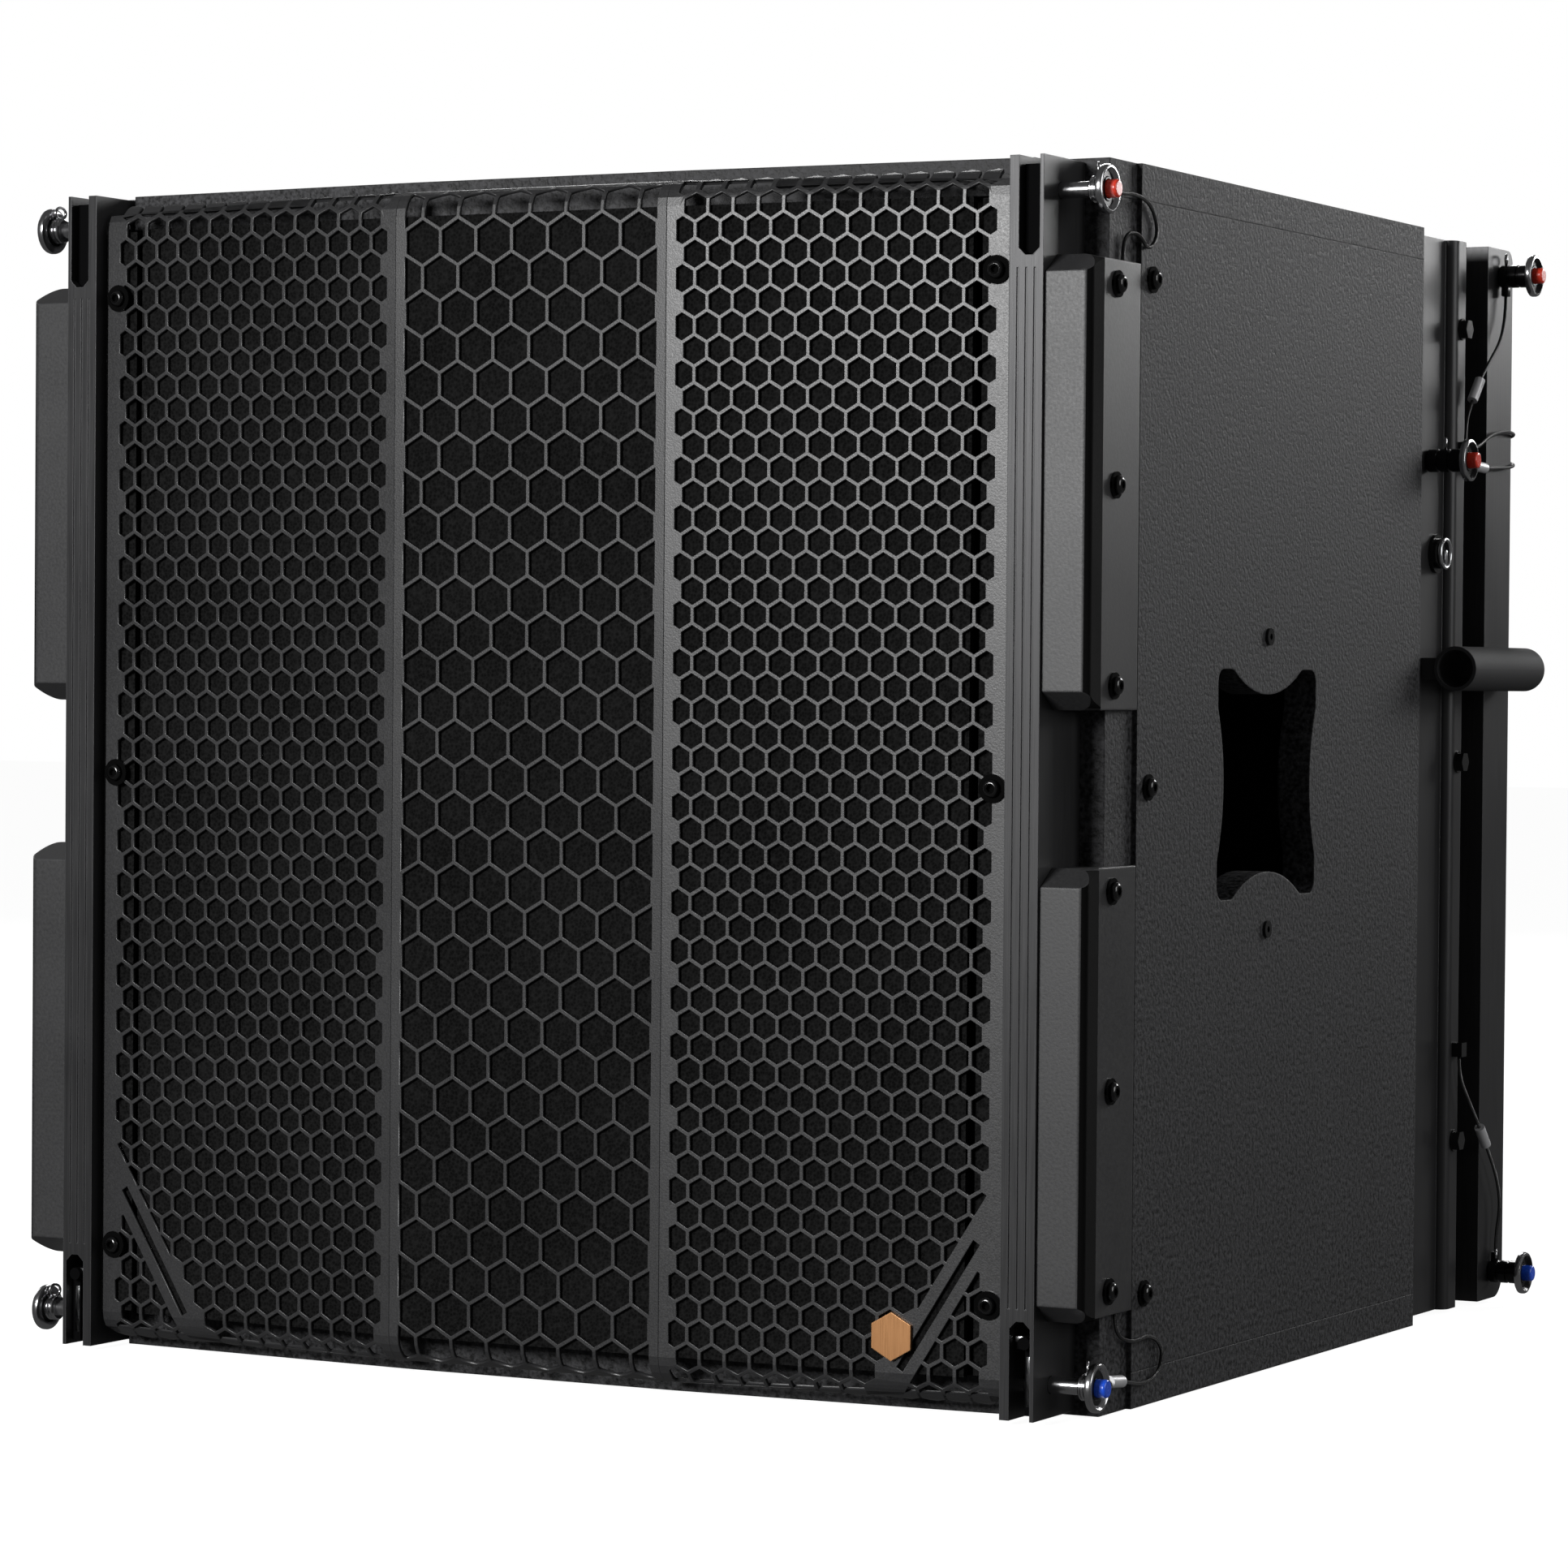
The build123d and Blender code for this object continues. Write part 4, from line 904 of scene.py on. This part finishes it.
def block_piece(name: str, low: Point, high: Point, edge: float) -> Object:
    """Makes a block with rounded edges.

    Args:
        name: the new object's name.
        low: its lowest corner in millimetres.
        high: its highest corner in millimetres.
        edge: rounding in millimetres.

    Returns:
        The block.
    """
    deselect()
    centre = [(a + b) / 2 * MM for a, b in zip(low, high)]
    bpy.ops.mesh.primitive_cube_add(size=1.0, location=centre,
                                    scale=[(b - a) * MM for a, b in zip(low, high)])
    piece = bpy.context.object
    piece.name = name
    settle(piece)
    bpy.ops.object.mode_set(mode="EDIT")
    bpy.ops.mesh.select_all(action="SELECT")
    bpy.ops.mesh.bevel(offset=edge * MM, segments=2, affect="EDGES")
    bpy.ops.object.mode_set(mode="OBJECT")
    bpy.ops.object.shade_smooth_by_angle(angle=SMOOTH_ANGLE)
    return piece


def ring_piece(name: str, centre: Point, turn: Point, large: float, small: float) -> Object:
    """Bends a round bar to a ring.

    Args:
        name: the new object's name.
        centre: its middle in millimetres.
        turn: its rotation from lying flat, in degrees.
        large: radius of the ring in millimetres.
        small: radius of the bar in millimetres.

    Returns:
        The ring.
    """
    deselect()
    bpy.ops.mesh.primitive_torus_add(location=[c * MM for c in centre],
                                     rotation=[math.radians(t) for t in turn],
                                     major_segments=32, minor_segments=10,
                                     major_radius=large * MM, minor_radius=small * MM)
    piece = bpy.context.object
    piece.name = name
    settle(piece)
    bpy.ops.object.shade_smooth()
    return piece


def joined(name: str, pieces: list[Object]) -> Object:
    """Joins pieces into one object.

    Args:
        name: the name of the whole.
        pieces: the pieces, each with its own materials.

    Returns:
        The whole.
    """
    activate(pieces[0])
    for piece in pieces[1:]:
        piece.select_set(True)
    bpy.ops.object.join()
    whole = bpy.context.object
    whole.name = name
    return whole


def copied(piece: Object, name: str, shift: Point, mirrored: bool = False) -> Object:
    """Copies a piece, with its own mesh, to another place.

    Args:
        piece: the piece to copy.
        name: the copy's name.
        shift: how far it moves, in metres, before it is mirrored.
        mirrored: True for the other side of the cabinet.

    Returns:
        The copy.
    """
    mesh = piece.data.copy()
    place = Matrix.Translation(shift)
    if mirrored:
        place = Matrix.Diagonal((-1, 1, 1, 1)) @ place
    mesh.transform(place)
    if mirrored:
        mesh.flip_normals()
    copy = bpy.data.objects.new(name, mesh)
    bpy.context.scene.collection.objects.link(copy)
    return copy


@dataclass
class PinKind:
    """One length of ball-lock pin, its steps along X in millimetres from the cabinet's middle."""

    name: str
    tip: float
    grip: float
    flange: float
    lug: Flat
    places: tuple[Place, ...]
    bright: bool = False
    shaft_radius: float = 4.0
    ball_groove: float = 0.3
    grip_radius: float = 6.5
    grip_grooves: tuple[float, ...] = (0.3, 0.6)
    groove_depth: float = 0.7
    flange_radius: float = 12.0
    flange_thickness: float = 4.0
    rim: float = 2.0
    bright_rim: float = 3.0
    dish: float = 2.0
    bore: float = 4.9
    bore_depth: float = 3.6
    lug_start: float = 1.0
    lug_root: float = 4.0
    lug_reach: float = 11.5
    lug_half_width: float = 3.0
    lug_thickness: float = 4.0
    lug_edge: float = 0.8
    ring_height: float = 9.4
    ring_turn: Point = (0, 90, 25)
    ring_radius: float = 3.1
    ring_wire: float = 0.75

    def shaft(self) -> Object:
        """Turns the polished shaft, with a rounded tip and the groove its locking balls sit in.

        Returns:
            The shaft.
        """
        wide, groove = self.shaft_radius, self.shaft_radius - self.ball_groove
        steps = [(self.tip, wide - 1.6), (self.tip + 0.6, wide - 0.6), (self.tip + 1.6, wide),
                 (self.tip + 3.0, wide), (self.tip + 3.4, groove), (self.tip + 4.4, groove),
                 (self.tip + 4.8, wide), (self.grip + 0.4, wide)]
        bar = turned_piece(self.name + "_shaft", steps)
        dress(bar, PIN_POLISHED)
        return bar

    def barrel(self) -> Object:
        """Turns the grip, with two grooves, between the shaft and the flange.

        Returns:
            The grip.
        """
        start, end, wide = self.grip, self.flange + 0.2, self.grip_radius
        length = end - start
        steps = [(start, wide - 0.8), (start + 0.8, wide)]
        floor = wide - self.groove_depth
        for share in self.grip_grooves:
            groove = start + length * share
            steps += [(groove - 0.5, wide), (groove, floor),
                      (groove + 0.7, floor), (groove + 1.2, wide)]
        steps += [(end - 0.3, wide), (end, wide - 0.5)]
        barrel = turned_piece(self.name + "_barrel", steps)
        dress(barrel, PIN_POLISHED if self.bright else PIN_BLACK)
        return barrel

    def disc(self) -> Object:
        """Turns the dished flange with the button's bore: a bright rolled rim round a dark dish.

        Returns:
            The flange.
        """
        start, end, wide = self.flange, self.flange + self.flange_thickness, self.flange_radius
        flange = turned_piece(self.name + "_flange", [
            (start, wide - 4.0), (start, wide - 1.0), (start + 0.5, wide - 0.2), (start + 1.2, wide),
            (end - 1.2, wide), (end - 0.4, wide - 0.3), (end, wide - 1.0), (end, wide - 1.7),
            (end - 0.5, wide - 2.4), (end - self.dish, wide - 3.4), (end - self.dish, self.bore + 1.2),
            (end - self.dish + 0.5, self.bore + 0.8), (end - self.dish + 0.5, self.bore),
            (end - self.bore_depth, self.bore)], sides=48)
        dress(flange, PIN_BLACK)
        flange.data.materials.append(PIN_POLISHED.build())
        inside = wide - (self.bright_rim if self.bright else self.rim)
        for face in flange.data.polygons:
            if math.hypot(face.center.y, face.center.z) / MM > inside:
                face.material_index = 1
        return flange

    def build(self) -> None:
        """Makes the pin once, and a copy for each place."""
        start = self.grip + self.lug_start
        spans = []
        for along, across in (self.lug, self.lug[::-1]):
            ends = (along * self.lug_root, along * self.lug_reach)
            half = self.lug_half_width * abs(across)
            spans.append((min(ends) - half, max(ends) + half))
        (low_y, high_y), (low_z, high_z) = spans
        lug = block_piece(self.name + "_lug", (start, low_y, low_z),
                          (start + self.lug_thickness, high_y, high_z), self.lug_edge)
        dress(lug, PIN_BLACK)
        eye = ring_piece(self.name + "_ring", (start + self.lug_thickness / 2, 0.0, self.ring_height),
                         self.ring_turn, self.ring_radius, self.ring_wire)
        dress(eye, PIN_POLISHED)
        whole = joined(self.name, [self.shaft(), self.barrel(), self.disc(), lug, eye])
        for node, depth, height, mirrored in self.places:
            pin = copied(whole, node + "_turned", (0.0, depth * MM, height * MM), mirrored)
            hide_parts(node)
            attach(pin, node)
        bpy.data.objects.remove(whole)
        LOG.info("%s: %d pins", self.name, len(self.places))


def pair_of_places(name: str, depth: float, height: float) -> tuple[Place, Place]:
    """Right and left place of a pin."""
    return ((name + "_right", depth, height, False), (name + "_left", depth, height, True))


PIN_KINDS = (
    PinKind("front_pin", 260.0, 300.5, 306.5, (1, 0),
            pair_of_places("pin_front_top", -287.5, 594.0)
            + pair_of_places("pin_front_bottom", -287.5, 18.0), bright=True),
    PinKind("rear_top_pin", 273.2, 298.4, 316.4, (0, -1),
            pair_of_places("pin_rear_top", 289.0, 594.0)),
    PinKind("rear_bottom_pin", 273.2, 298.4, 316.4, (0, 1),
            pair_of_places("pin_rear_bottom", 289.0, 18.0)),
    PinKind("spare_pin", 275.2, 290.4, 312.4, (1, 0), (("pin_spare", 195.5, 484.0, False),),
            lug_start=8.0),
)


@dataclass
class SlotFittings:
    """Bright keeper bar and leaf spring inside the bottom slot of each corner post."""

    bar: tuple[Point, Point] = ((271.6, -302.5, 39.5), (277.5, -299.5, 42.5))
    bar_edge: float = 0.6
    leaf: tuple[Point, Point] = ((277.2, -301.5, 8.0), (280.6, -300.3, 33.0))
    leaf_edge: float = 0.4

    def build(self) -> None:
        """Makes both pieces once and mirrors them."""
        for name, (low, high), edge in (("slot_keeper", self.bar, self.bar_edge),
                                        ("slot_leaf", self.leaf, self.leaf_edge)):
            model = block_piece(name, low, high, edge)
            dress(model, BRIGHT_STEEL)
            for side, mirrored in (("right", False), ("left", True)):
                piece = copied(model, f"{name}_{side}", (0, 0, 0), mirrored)
                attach(piece, "cabinet")
            bpy.data.objects.remove(model)
        LOG.info("slots: keeper bars and leaf springs")


@dataclass
class EyeScrew:
    """Lashing eye folded flat against the rear rail, on a round boss."""

    middle: Point = (295.0, 208.0, 432.0)
    ring: float = 8.0
    wire: float = 1.3
    tongue: Point = (2.4, 3.0, 8.5)
    tongue_drop: float = 6.5
    tongue_edge: float = 0.7

    def build(self) -> None:
        """Makes the ring and its tongue for both sides."""
        x, y, z = self.middle
        thick, wide, tall = self.tongue
        foot = z - self.tongue_drop
        loop = ring_piece("eye_loop", (x + thick / 2, y, z), (0, 90, 0), self.ring, self.wire)
        tongue = block_piece("eye_tongue", (x, y - wide / 2, foot),
                             (x + thick, y + wide / 2, foot + tall), self.tongue_edge)
        dress(loop, BRIGHT_STEEL)
        dress(tongue, BRIGHT_STEEL)
        whole = joined("eye_model", [loop, tongue])
        for side, mirrored in (("right", False), ("left", True)):
            piece = copied(whole, "lashing_eye_" + side, (0, 0, 0), mirrored)
            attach(piece, "cabinet")
        bpy.data.objects.remove(whole)
        LOG.info("rails: lashing eyes")


# ---- carried-over pieces ----

@dataclass
class CarriedNodes:
    """Pieces whose shape is right as packed, and that only need their finishes, with painted shade on
    the covers' flanks and the posts' ledges.

    The cosines say how squarely a face must look along an axis; the two distances, in
    millimetres, are where a post's ledge ends and where a cover's flange lies.
    """

    flat_cosine: float = 0.985
    ledge_end: float = 265.6
    flank_cosine: float = 0.4
    flange_skin: float = 300.4

    def blacken_flats(self, node: Object) -> None:
        """Gives a screw node's washers and flats their own matt finish.

        Args:
            node: the CAD node.
        """
        node.data.materials.append(MATT_WASHER.build())
        for face in node.data.polygons:
            if max(abs(face.normal.x), abs(face.normal.y)) > self.flat_cosine:
                face.material_index = 1

    def paint_flank_shade(self, node: Object) -> None:
        """Paints a cover's flank, between its front and its flange, matt near-black as painted shade.

        Args:
            node: the CAD node.
        """
        # The near-black matt finish on the flank is painted shade.
        node.data.materials.append(FLANK_PAINTED_SHADE.build())
        for face in node.data.polygons:
            outside = abs(face.center.x) > self.flange_skin * MM
            if outside and abs(face.normal.x) > self.flank_cosine:
                face.material_index = 1

    def paint_ledge_shade(self, node: Object) -> None:
        """Paints the grille's ledge inside a corner post with the dark foam finish, as painted shade
        inside the post.

        Args:
            node: the CAD node.
        """
        # The dark foam finish on the ledge is painted shade.
        node.data.materials.append(FOAM_AND_LEDGE_SHADE.build())
        for face in node.data.polygons:
            if abs(face.center.x) < self.ledge_end * MM:
                face.material_index = 1

    def build(self) -> None:
        """Dresses each node."""
        for finish, names in NODE_FINISHES:
            for name in names:
                dress(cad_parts[name], finish)
        for name in ("grille_screws", "side_screws"):
            self.blacken_flats(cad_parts[name])
        # Painted shade on the posts' inner ledges.
        for name in ("front_post_left", "front_post_right"):
            self.paint_ledge_shade(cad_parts[name])
        for name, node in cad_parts.items():
            if name.startswith("button_"):
                dress(node, BLUE_BUTTON if "bottom" in name else RED_BUTTON)
            elif name.startswith("cover_"):
                # Painted shade on each cover's flank.
                self.paint_flank_shade(node)
        LOG.info("carried nodes dressed")


def main() -> None:
    """Builds the loudspeaker's looks in order."""
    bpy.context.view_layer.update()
    Studio().build()
    for lanyard in LANYARDS:
        lanyard.build()
    Grille().build()
    for kind in PIN_KINDS:
        kind.build()
    SlotFittings().build()
    EyeScrew().build()
    CarriedNodes().build()


if __name__ == "__main__":
    main()
